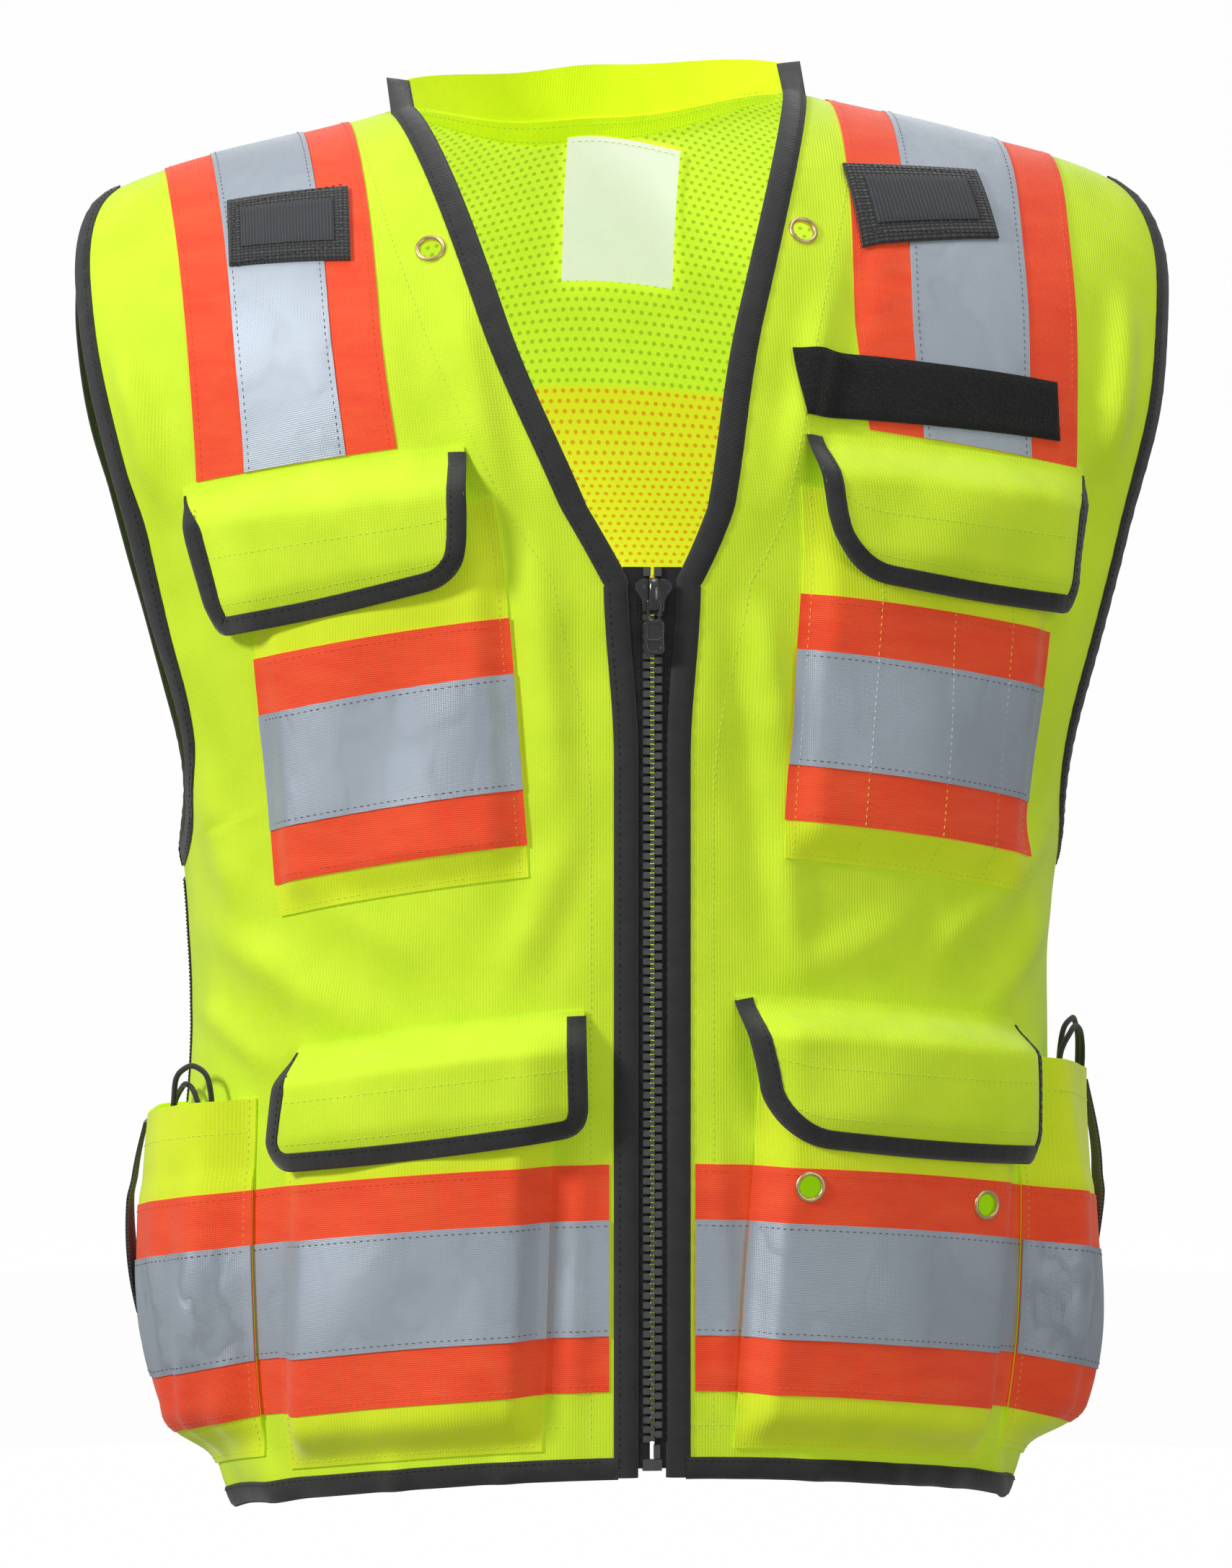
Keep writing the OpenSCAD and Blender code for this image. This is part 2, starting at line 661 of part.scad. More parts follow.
module pocket_tape(p, h, w, off) {
    pocket_strip(p, 0, 1, h - w / 2, h + w / 2, off, tape_t);
}

chest_tape_h = -chest_mouth - 90;
over_pocket_orange = tape_gap;
over_pocket_silver = tape_gap + tape_t + 0.8;

module chest_pocket_right() {
    color(LIME) right() pocket(CHEST_RIGHT);
}

module chest_pocket_left() {
    color(LIME) pocket(CHEST_LEFT);
}

module chest_tape_orange() {
    color(ORANGE) {
        right() pocket_tape(CHEST_RIGHT, chest_tape_h - chest_step, orange_w, over_pocket_orange);
        pocket_tape(CHEST_LEFT, chest_tape_h, orange_w, over_pocket_orange);
    }
}

module chest_tape_silver() {
    color(SILVER) {
        right() pocket_tape(CHEST_RIGHT, chest_tape_h - chest_step, silver_w, over_pocket_silver);
        pocket_tape(CHEST_LEFT, chest_tape_h, silver_w, over_pocket_silver);
    }
}

module lower_pocket_right() {
    color(LIME) right() pocket(LOWER_RIGHT);
}

module lower_pocket_left() {
    color(LIME) difference() {
        pocket(LOWER_LEFT);
        pocket_grommet_holes();
    }
}

module pocket_grommet_holes() {
    for (g = POCKET_GROMMETS)
        on_front(g[0], g[1], rim + lower_depth - 6) cylinder(h = 12, r = hole_r, $fn = 48);
}

module lower_tape_orange() {
    color(ORANGE) {
        right() pocket_tape(LOWER_RIGHT, waist_h, orange_w, over_pocket_orange);
        difference() {
            pocket_tape(LOWER_LEFT, waist_h, orange_w, over_pocket_orange);
            pocket_grommet_holes();
        }
    }
}

module lower_tape_silver() {
    color(SILVER) {
        right() pocket_tape(LOWER_RIGHT, waist_h, silver_w, over_pocket_silver);
        pocket_tape(LOWER_LEFT, waist_h, silver_w, over_pocket_silver);
    }
}

module side_pocket_right() {
    color(LIME) right() pocket(SIDE_RIGHT);
}

module side_pocket_left() {
    color(LIME) pocket(SIDE_LEFT);
}

module side_tape_orange() {
    color(ORANGE) {
        right() pocket_tape(SIDE_RIGHT, waist_h + 2, orange_w - 4, over_pocket_orange);
        pocket_tape(SIDE_LEFT, waist_h + 2, orange_w - 4, over_pocket_orange);
    }
}

module side_tape_silver() {
    color(SILVER) {
        right() pocket_tape(SIDE_RIGHT, waist_h, silver_w, over_pocket_silver);
        pocket_tape(SIDE_LEFT, waist_h, silver_w, over_pocket_silver);
    }
}

// Loop tape on the pockets, under the hook tape of the closed flaps
module loop_strip(p, flap) {
    low = flap[2] - flap[3] + 10;
    pocket_strip(p, 0.15, 0.85, low, low + hook_w, 0.4, trim_t);
}

module pocket_loop_strips() {
    color(LIME) {
        right() loop_strip(CHEST_RIGHT, CHEST_FLAP_RIGHT);
        loop_strip(CHEST_LEFT, CHEST_FLAP_LEFT);
        right() loop_strip(LOWER_RIGHT, LOWER_FLAP_RIGHT);
        loop_strip(LOWER_LEFT, LOWER_FLAP_LEFT);
    }
}

// ---------- Flaps ----------

// Distance of a flap's inner face from the panel's inner face, f down from its top edge
function flap_off(depth, f) =
    mix(cloth_t + gap, rim + depth + flap_clear, ease(0, FLAP_RISE, f));

module flap(f, depth) {
    low = f[2] - f[3];
    rows = concat([low, (low + f[2] - FLAP_RISE) / 2], [for (i = [3:-1:0]) f[2] - FLAP_FALL[i]], [f[2]]);
    at = function(d) [for (h = rows) [for (u = steps(f[0], f[1], 8))
        ring_pt(u, h, flap_off(depth, f[2] - h) + d)]];
    color(LIME) sheet(at(cloth_t), at(0));
}

// Binding round the sides and the bottom of a flap
module flap_binding(f, depth) {
    w = 8;
    low = f[2] - f[3];
    down = [for (i = [0:3]) f[2] - FLAP_FALL[i]];
    up = [for (i = [3:-1:0]) f[2] - FLAP_FALL[i]];
    outer = concat([for (h = down) [f[1] + 1, h]],
        [for (u = steps(f[1] + 1, f[0] - 1, 8)) [u, low - 1]], [for (h = up) [f[0] - 1, h]]);
    inner = concat([for (h = down) [f[1] - w, h]],
        [for (u = steps(f[1] - w, f[0] + w, 8)) [u, low + w]], [for (h = up) [f[0] + w, h]]);
    at = function(d) [for (i = [0:len(outer) - 1]) [for (q = [outer[i], inner[i]])
        ring_pt(q[0], q[1], flap_off(depth, f[2] - q[1]) + d)]];
    color(BLACK) sheet(at(cloth_t + tape_gap + trim_t), at(cloth_t + tape_gap));
}

// Hook tape inside a flap
module flap_hook(f, depth) {
    low = f[2] - f[3] + 10;
    at = function(d) [for (h = steps(low, low + hook_w, 1)) [for (u = steps(f[0] + 14, f[1] - 14, 6))
        ring_pt(u, h, rim + depth + flap_clear + d)]];
    color(LIME) sheet(at(-0.4), at(-0.4 - trim_t));
}

module chest_flap_right() { right() flap(CHEST_FLAP_RIGHT, chest_depth); }
module chest_flap_left() { flap(CHEST_FLAP_LEFT, chest_depth); }
module lower_flap_right() { right() flap(LOWER_FLAP_RIGHT, lower_depth); }
module lower_flap_left() { flap(LOWER_FLAP_LEFT, lower_depth); }
module chest_flap_binding_right() { right() flap_binding(CHEST_FLAP_RIGHT, chest_depth); }
module chest_flap_binding_left() { flap_binding(CHEST_FLAP_LEFT, chest_depth); }
module lower_flap_binding_right() { right() flap_binding(LOWER_FLAP_RIGHT, lower_depth); }
module lower_flap_binding_left() { flap_binding(LOWER_FLAP_LEFT, lower_depth); }
module chest_flap_hook_right() { right() flap_hook(CHEST_FLAP_RIGHT, chest_depth); }
module chest_flap_hook_left() { flap_hook(CHEST_FLAP_LEFT, chest_depth); }
module lower_flap_hook_right() { right() flap_hook(LOWER_FLAP_RIGHT, lower_depth); }
module lower_flap_hook_left() { flap_hook(LOWER_FLAP_LEFT, lower_depth); }

// ---------- Tabs, strips, label and grommets ----------

// Small patch on the front at u and h, turned by the given slope
module tab(u, h, w, len, slope, off, t, nu) {
    at = function(d) [for (y = steps(-len / 2, len / 2, 2)) [for (x = steps(-w / 2, w / 2, nu))
        pt(1, u + x - slope * y, h + y + slope * x, d)]];
    sheet(at(off + t), at(off));
}

// Microphone tabs: u, h and slope of the right one and the left one
MIC_RIGHT = [153, -73, 0.2];
MIC_LEFT = [138, -71, 0.3];

module mic_tab_webbing() {
    color(BLACK) {
        right() tab(MIC_RIGHT[0], MIC_RIGHT[1], 64, 37, MIC_RIGHT[2], webbing_off, 2, 5);
        tab(MIC_LEFT[0], MIC_LEFT[1], 61, 36, MIC_LEFT[2], webbing_off, 2, 5);
    }
}

module mic_tab_ribbon() {
    color(BLACK) {
        right() tab(MIC_RIGHT[0], MIC_RIGHT[1], 50, 21, MIC_RIGHT[2], webbing_off + 2.4, 1, 5);
        tab(MIC_LEFT[0], MIC_LEFT[1], 50, 21, MIC_LEFT[2], webbing_off + 2.4, 1, 5);
    }
}

module id_loop_strip() {
    color(BLACK) tab(136, -146, 120, 19, 0.06, webbing_off, 0.8, 9);
}

// Eyelet with a flange on each face of the cloth
module grommet(grip) {
    flange = 0.8;
    slack = 0.8;
    rotate_extrude($fn = 64)
        polygon([
            [bore_r, -flange - slack], [GROMMET_R, -flange - slack], [GROMMET_R, -slack],
            [bore_r + 0.9, -slack], [bore_r + 0.9, grip + slack], [GROMMET_R, grip + slack],
            [GROMMET_R, grip + flange + slack], [bore_r, grip + flange + slack]
        ]);
}

module chest_grommets() {
    color(BRASS) both() on_front(CHEST_GROMMET_U, chest_grommet_h(), 0) grommet(cloth_t);
}

module pocket_grommets() {
    color(BRASS)
        for (g = POCKET_GROMMETS)
            on_front(g[0], g[1], rim + lower_depth - cloth_t) grommet(cloth_t + tape_gap + tape_t);
}

module care_label() {
    at = function(d) [for (h = steps(-84, -22, 4)) [for (u = steps(48, -6, 4)) pt(-1, u, h, d)]];
    color(WHITE) sheet(at(-2.6), at(-3.2));
}

// Closed zipper of the pocket inside the back, beside the right side seam
module side_zipper() {
    at = function(d) [for (h = steps(-432, -330, 4))
        [for (s = [2, 8, 14]) ring_pt(seam_u(1, h) + s, h, d)]];
    color(BLACK) right() sheet(at(orange_off + trim_t), at(orange_off));
}

// Grosgrain loops down the outside of the side pockets
module side_strap(p, top) {
    at = function(d) [for (i = [0:6])
        let (h = mix(top - 84, top, i / 6), bow = 3.2 + 2 * sin(180 * i / 6))
        [for (u = [262, 268, 274])
            ring_pt(u, h, pocket_off(p, (u - p[0]) / p[1], h) + bow + d)]];
    sheet(at(1), at(0));
}

module side_straps() {
    color(BLACK) {
        right() side_strap(SIDE_RIGHT, -side_mouth - side_step - 4);
        side_strap(SIDE_LEFT, -side_mouth - 4);
    }
}

// ---------- Elastic cords ----------

// Round tube of eight sides along a route
module tube(route, d) {
    n = len(route);
    sides = 8;
    dir = [for (i = [0:n - 1]) unit(route[min(n - 1, i + 1)] - route[max(0, i - 1)])];
    // Each ring's first direction is carried on from the ring before it
    start = unit(cross(dir[0], [0, 1, 0]));
    across = [for (i = 0, a = start; i < n; i = i + 1,
        a = i < n ? unit(a - (a * dir[i]) * dir[i]) : a) a];
    points = [for (i = [0:n - 1], k = [0:sides - 1])
        let (b = cross(dir[i], across[i]), t = 360 * k / sides)
        route[i] + d / 2 * (cos(t) * across[i] + sin(t) * b)];
    at = function(i, k) i * sides + k % sides;
    faces = concat(
        [for (i = [0:n - 2], k = [0:sides - 1]) each [
            [at(i, k), at(i + 1, k), at(i + 1, k + 1)], [at(i, k), at(i + 1, k + 1), at(i, k + 1)]]],
        [[for (k = [0:sides - 1]) k], [for (k = [sides - 1:-1:0]) (n - 1) * sides + k]]
    );
    polyhedron(points = points, faces = faces);
}

module elastic_cord_right() {
    color(BLACK) tube(CORD_RIGHT, cord_d);
}

module elastic_cord_left() {
    color(BLACK) tube(CORD_LEFT, cord_d);
}

// ---------- Nodes ----------

back_panel();
right() front_panel();  // front_panel_right
front_panel();  // front_panel_left
neck_collar();
neck_facing();
right() front_binding();  // front_binding_right
front_binding();  // front_binding_left
right() armhole_binding();  // armhole_binding_right
armhole_binding();  // armhole_binding_left
hem_binding();
right() zipper_tape();  // zipper_tape_right
zipper_tape();  // zipper_tape_left
right() zipper_teeth(0);  // zipper_teeth_right
zipper_teeth(tooth_pitch / 2);  // zipper_teeth_left
zipper_top_stops();
zipper_insertion_pin();
zipper_retainer_box();
zipper_slider();
zipper_pull();
shoulder_tape_orange();
shoulder_tape_silver();
waist_tape_orange();
waist_tape_silver();
back_tape_orange();
back_tape_silver();
chest_pocket_right();
chest_pocket_left();
chest_tape_orange();
chest_tape_silver();
lower_pocket_right();
lower_pocket_left();
lower_tape_orange();
lower_tape_silver();
side_pocket_right();
side_pocket_left();
side_tape_orange();
side_tape_silver();
pocket_loop_strips();
mic_tab_webbing();
mic_tab_ribbon();
id_loop_strip();
chest_grommets();
pocket_grommets();
care_label();
side_zipper();
elastic_cord_right();
elastic_cord_left();
side_straps();
chest_flap_right();
chest_flap_left();
lower_flap_right();
lower_flap_left();
chest_flap_binding_right();
chest_flap_binding_left();
lower_flap_binding_right();
lower_flap_binding_left();
chest_flap_hook_right();
chest_flap_hook_left();
lower_flap_hook_right();
lower_flap_hook_left();
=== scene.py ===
"""High visibility vest: cloth, tapes, bindings, stitching, zipper and cords round the CAD frame.

Lengths are in millimetres until a mesh is made. The body's shape is the CAD model's: u runs
round the body from the front centre line, h runs up the cloth and off stands out from it.
hand is 1 on the wearer's left and -1 on the right.
"""
import json
import math

import bmesh
import bpy
import numpy as np
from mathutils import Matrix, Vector


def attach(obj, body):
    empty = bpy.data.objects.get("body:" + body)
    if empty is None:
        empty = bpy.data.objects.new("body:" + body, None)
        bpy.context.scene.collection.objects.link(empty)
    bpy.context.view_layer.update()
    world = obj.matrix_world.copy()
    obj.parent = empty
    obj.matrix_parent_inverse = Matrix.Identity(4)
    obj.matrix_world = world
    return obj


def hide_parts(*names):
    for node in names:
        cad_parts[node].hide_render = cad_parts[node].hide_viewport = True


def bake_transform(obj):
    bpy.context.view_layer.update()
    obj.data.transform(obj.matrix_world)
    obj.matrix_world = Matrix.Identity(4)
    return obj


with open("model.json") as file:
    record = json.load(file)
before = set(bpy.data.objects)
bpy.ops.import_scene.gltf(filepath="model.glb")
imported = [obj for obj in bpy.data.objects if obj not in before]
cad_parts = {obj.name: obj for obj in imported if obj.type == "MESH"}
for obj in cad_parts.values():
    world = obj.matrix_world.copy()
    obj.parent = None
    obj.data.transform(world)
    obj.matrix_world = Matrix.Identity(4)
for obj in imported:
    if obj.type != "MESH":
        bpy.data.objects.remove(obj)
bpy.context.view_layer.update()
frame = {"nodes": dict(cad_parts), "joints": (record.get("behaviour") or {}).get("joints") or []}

MM = 0.001
RIGHT, LEFT = -1, 1
HANDS = ((RIGHT, "right"), (LEFT, "left"))

# Shape of the body, as in the CAD model
BODY_HALVES = np.array([165, 184, 197, 200, 198, 198, 204, 224, 243, 260, 268, 268, 268], float)
LEVEL_STEP = 60
LOWEST_LEVEL = -660
FRONT_DEPTH = 130
WAIST_DEPTH = 114
FLAT = math.radians(30)
FLAT_K = math.sin(FLAT) + math.cos(FLAT) - 1
RIDGE_Y = 12
DOME = {1: (-190, 216), -1: (-150, 205)}
FRONT_TOP = 26
BACK_TOP = 55
FRONT_DROOP = 26
BACK_DROOP = 8
NECK_LEAN = -11.5
SHOULDER_LIFT = 10
NECK_HALF = 89
V_H = -222
V_POWER = 1.7
HEM_H = -616
ARM_H = -315
ARM_CUT = 54
SHOULDER_CUT = 20
ZIP_BOTTOM = -614
WAIST_H = -529
BAND_H = -172
BINDING_W = 10
ORANGE_W = 100
SILVER_W = 51
SIDE_U = 185
SIDE_W = 127

# Layers of thin cloth, as distances out from the panel's inner face
CLOTH = 0.9
ORANGE_OFF = 1.1
SILVER_OFF = 1.7
TAPE_T = 0.5
TRIM_TOP = ORANGE_OFF + 0.85
POUCH_ORANGE_OFF = CLOTH + 0.15
POUCH_SILVER_OFF = CLOTH + 0.8
STITCH_PITCH = 3.2


# ---------- Camera ----------

def link(name, data):
    obj = bpy.data.objects.new(name, data)
    bpy.context.scene.collection.objects.link(obj)
    return obj


def make_camera():
    aim = Vector((-16, -FRONT_DEPTH, -312)) * MM
    distance = 2.6
    azimuth = math.radians(-6)
    view_angle = math.radians(15.1)
    data = bpy.data.cameras.new("camera")
    data.lens = data.sensor_width / 2 / math.tan(view_angle / 2)
    camera = link("camera", data)
    toward = Vector((math.sin(azimuth), -math.cos(azimuth), 0))
    camera.location = aim + toward * distance
    camera.rotation_mode = "QUATERNION"
    camera.rotation_quaternion = (-toward).to_track_quat("-Z", "Y")
    bpy.context.scene.camera = camera


make_camera()


# ---------- Shape of the body ----------

def mix(a, b, t):
    """Value t of the way from a to b."""
    return a + (b - a) * t


def ease(a, b, x):
    """Smooth step from 0 at a to 1 at b."""
    t = np.clip((np.asarray(x, float) - a) / (b - a), 0, 1)
    return t * t * (3 - 2 * t)


def unit(v):
    return v / np.linalg.norm(v, axis=-1, keepdims=True)


def spline(p0, p1, p2, p3, t):
    """Smooth curve through the middle two of four points."""
    return 0.5 * (2 * p1 + (p2 - p0) * t + (2 * p0 - 5 * p1 + 4 * p2 - p3) * t**2
                  + (3 * p1 - p0 - 3 * p2 + p3) * t**3)


def half_w(h):
    """Half width of the body at a height, on a smooth curve through the levels."""
    last = len(BODY_HALVES) - 1
    s = np.clip((h - LOWEST_LEVEL) / LEVEL_STEP, 0, last - 0.001)
    i = np.floor(s).astype(int)
    around = [BODY_HALVES[np.clip(i + k, 0, last)] for k in (-1, 0, 1, 2)]
    return spline(*around, s - i)


def half_d(side, h):
    if side > 0:
        return FRONT_DEPTH + 0 * h
    return mix(WAIST_DEPTH + 10 * ease(-480, -200, h), FRONT_DEPTH, ease(-150, BACK_TOP, h))


def end_r(a, b):
    """Radius of the rounded ends of a section with half axes a and b."""
    return b - (a - b) * (1 - math.cos(FLAT)) / FLAT_K


def flat_r(a, b):
    """Radius of the nearly flat middle of that section."""
    return end_r(a, b) + (a - b) / FLAT_K


def seam_u(side, h):
    """Distance round the body from the centre line to the side seam."""
    a, b = half_w(h), half_d(side, h)
    return flat_r(a, b) * FLAT + end_r(a, b) * (math.pi / 2 - FLAT)


def shoulder_z(x):
    """Height of the shoulder line: a slope from the neck with rounded ends."""
    past_neck = np.sqrt(x * x + 900) - 91
    bend = 2.7 * np.log(1 + np.exp(-past_neck / 12)) - 10 * (np.maximum(0, past_neck) / 160) ** 6
    return -0.25 * past_neck + bend


def chart(side, u, h, hand):
    """Point on the inner face of the smooth cloth."""
    a, b = half_w(h), half_d(side, h)
    tight, wide = end_r(a, b), flat_r(a, b)
    v = np.abs(u)
    bend = FLAT + (v - wide * FLAT) / tight
    on_flat = v < wide * FLAT
    x = np.sign(u) * np.where(on_flat, wide * np.sin(v / wide), a - tight + tight * np.sin(bend))
    y = np.where(on_flat, wide * np.cos(v / wide) - (wide - b), tight * np.cos(bend))
    dome = 1 - np.cos(np.minimum(1, v / seam_u(side, h)) * math.pi / 2)
    dip = FRONT_DROOP * dome if side > 0 else mix(BACK_DROOP, FRONT_DROOP, dome)
    start, length = DOME[side]
    phi = math.pi / 2 * np.clip((h - start) / length, 0, 1)
    ridge = -side * RIDGE_Y
    depth = ridge + (y - ridge) * np.cos(phi)
    z = np.where(phi > 0, start + (shoulder_z(x) - start) * np.sin(phi) - dip * np.cos(phi), h - dip)
    lean = NECK_LEAN * ease(V_H, -105, z) * (1 - ease(90, 210, np.abs(x)))
    lift = SHOULDER_LIFT * ease(-170, -30, z) * ease(-40, 130, hand * x)
    return np.stack([hand * x + lean, -side * depth, z + lift], -1)


# Soft folds as x and z of both ends, width and height of the ridge
FRONT_FOLDS = [
    (-52, -205, -40, -330, 15, 2.6), (-35, -330, -62, -400, 14, 1.8),
    (48, -235, 60, -300, 12, 2.2), (34, -230, 52, -370, 14, -1.6), (58, -330, 66, -400, 12, 1.8),
    (-86, -92, -66, -190, 12, 2.4), (-108, -120, -80, -200, 14, -1.4),
    (82, -90, 62, -180, 11, 2.2), (100, -60, 92, -120, 10, -1.2),
    (-232, -110, -212, -190, 11, 2.8), (-222, -180, -196, -250, 14, -2.2),
    (226, -90, 214, -170, 11, 3.0), (214, -160, 196, -230, 14, -2.2),
    (-192, -300, -176, -372, 13, 2.6), (-190, -375, -120, -425, 16, 3.0),
    (-150, -352, -95, -398, 15, 2.2), (-195, -410, -165, -440, 9, 2.0),
    (188, -330, 128, -392, 14, 2.4), (192, -368, 150, -420, 12, 2.2), (120, -372, 60, -398, 15, 1.6),
    (-170, -610, -150, -650, 10, 1.6), (-60, -607, -70, -640, 9, 1.2), (70, -606, 76, -640, 9, 1.2),
    (160, -610, 168, -645, 10, 1.6), (112, -610, 110, -640, 8, 1.0), (-112, -608, -108, -640, 8, 1.0),
    (28, -450, 34, -600, 9, 1.3), (-30, -460, -34, -600, 9, 1.3), (184, -440, 190, -600, 9, 1.2),
]
BACK_FOLDS = [
    (-150, -240, -90, -430, 18, 3.2), (150, -250, 95, -420, 18, 3.0), (0, -210, 10, -430, 22, 2.2),
    (-60, -220, -40, -400, 14, -2.0), (60, -230, 45, -410, 14, -2.0), (-205, -160, -150, -260, 14, 2.6),
    (205, -160, 155, -260, 14, 2.6), (-190, -330, -110, -450, 14, 2.4), (190, -330, 120, -450, 14, 2.4),
    (-130, -590, -136, -645, 10, 1.8), (-70, -590, -66, -640, 10, 1.6), (0, -590, 4, -636, 10, 1.6),
    (70, -590, 72, -640, 10, 1.8), (134, -590, 130, -645, 10, 1.6), (-110, -70, -60, -110, 12, 1.6),
    (110, -60, 64, -110, 12, 1.6),
]


def ridges(x, z, folds):
    """Sum of the soft ridges of some folds, each fading out past its two ends."""
    total = 0 * x
    for x0, z0, x1, z1, width, height in folds:
        dx, dz = x1 - x0, z1 - z0
        length = math.hypot(dx, dz)
        along = ((x - x0) * dx + (z - z0) * dz) / length
        t2 = (((x - x0) * dz - (z - z0) * dx) / length / width / 0.8) ** 2
        fade = ease(-0.15 * length, 0.35 * length, along) * ease(1.15 * length, 0.65 * length, along)
        total = total + height * fade * (1 - 0.7 * t2) * np.exp(-t2)
    return total


def drape(p):
    """How far the cloth stands out of the smooth shape at p, from its folds and waves."""
    x, y, z = p[..., 0], p[..., 1], p[..., 2]
    front = ease(20, -45, y)
    waves = (1.5 * np.sin(x / 41 + z / 97 + 0.7) * np.sin(z / 63 - x / 150 + 1.1)
             + 0.45 * np.sin(x / 17 - z / 29) * np.sin(z / 21 + y / 40 + 2)
             + 0.8 * np.sin(y / 15 + z / 60) * np.sin(z / 33 + 0.4) * ease(120, 190, np.abs(x)))
    gathers = 1.0 * np.sin((x + y) / 5.2) * np.sin(x / 31 + 1) * ease(-604, -634, z)
    folds = 2.1 * (front * ridges(x, z, FRONT_FOLDS) + (1 - front) * ridges(x, z, BACK_FOLDS))
    flat_by_zip = mix(ease(10, 34, np.abs(x)), 1, 1 - front * ease(-150, -225, z))
    return (waves + gathers + folds) * flat_by_zip


def pt(side, u, h, off, hand):
    """Point off out from the draped cloth's inner face."""
    u, h = np.broadcast_arrays(np.asarray(u, float), np.asarray(h, float))
    p = chart(side, u, h, hand)
    along = chart(side, u + 0.5, h, hand) - chart(side, u - 0.5, h, hand)
    up = chart(side, u, h + 0.5, hand) - chart(side, u, h - 0.5, hand)
    normal = side * hand * unit(np.cross(along, up))
    return p + normal * np.asarray(drape(p) + off)[..., None]


def ring(u, h, off, hand):
    """The same, with u running on round the side, the back and the other side."""
    u, h, off = np.broadcast_arrays(np.asarray(u, float), np.asarray(h, float), np.asarray(off, float))
    front, back = seam_u(1, h), seam_u(-1, h)
    near = (u <= front)[..., None]
    far = (u > front + 2 * back)[..., None]
    middle = pt(-1, front + back - u, h, off, hand)
    return np.where(near, pt(1, np.minimum(u, front), h, off, hand),
                    np.where(far, pt(1, u - 2 * (front + back), h, off, hand), middle))


def over(u, g, off, hand):
    """The same, with g running up the front, over the shoulder and down the back."""
    u, g = np.broadcast_arrays(np.asarray(u, float), np.asarray(g, float))
    down = BACK_TOP - (g - FRONT_TOP)
    return np.where((g <= FRONT_TOP)[..., None], pt(1, u, np.minimum(g, FRONT_TOP), off, hand),
                    pt(-1, u, np.minimum(down, BACK_TOP), off, hand))


def girth(h):
    """Distance all round the body."""
    return 2 * (seam_u(1, h) + seam_u(-1, h))


def front_in(h):
    """Inner edge of a front panel: beside the zipper, then up the V to the neck."""
    rise = np.clip((h - V_H) / (FRONT_TOP - V_H), 0, 1)
    by_zip = mix(8, 12.5, ease(V_H - 78, V_H, h))
    return np.where(h <= V_H, by_zip, mix(12.5, NECK_HALF, 1 - (1 - rise) ** V_POWER))


def arm_edge(side, h):
    """Edge of the armhole, or the side seam below it."""
    top = FRONT_TOP if side > 0 else BACK_TOP
    t = np.clip((h - ARM_H) / (top - ARM_H), 0, 1)
    s = np.minimum(1, t / 0.22)
    return seam_u(side, h) - ARM_CUT * np.sqrt(1 - (1 - s) ** 2) - SHOULDER_CUT * t**10


def back_edge(u):
    s = np.minimum(1, np.abs(u) / NECK_HALF)
    return -150 + 205 * (60 + 30 * s**2.2) / 90


def front_skin(hand):
    """Place function of a front: points at u, h and off above its inner face."""
    return lambda u, h, off: pt(1, u, h, off, hand)


def back_skin():
    return lambda u, h, off: pt(-1, u, h, off, LEFT)


def skin(hand, surface=None, place=ring):
    """Place function all round the body, above a surface of its own if it is given."""
    lift = surface or (lambda u, h: 0)
    return lambda u, h, off: place(u, h, lift(u, h) + off, hand)


# ---------- Materials ----------

class Value:
    """Output of a shader node. Arithmetic on it adds Math nodes."""

    def __init__(self, shader, socket):
        self.shader, self.socket = shader, socket

    def __add__(self, other):
        return self.shader.math("ADD", self, other)

    def __sub__(self, other):
        return self.shader.math("SUBTRACT", self, other)

    def __rsub__(self, other):
        return self.shader.math("SUBTRACT", other, self)

    def __mul__(self, other):
        return self.shader.math("MULTIPLY", self, other)


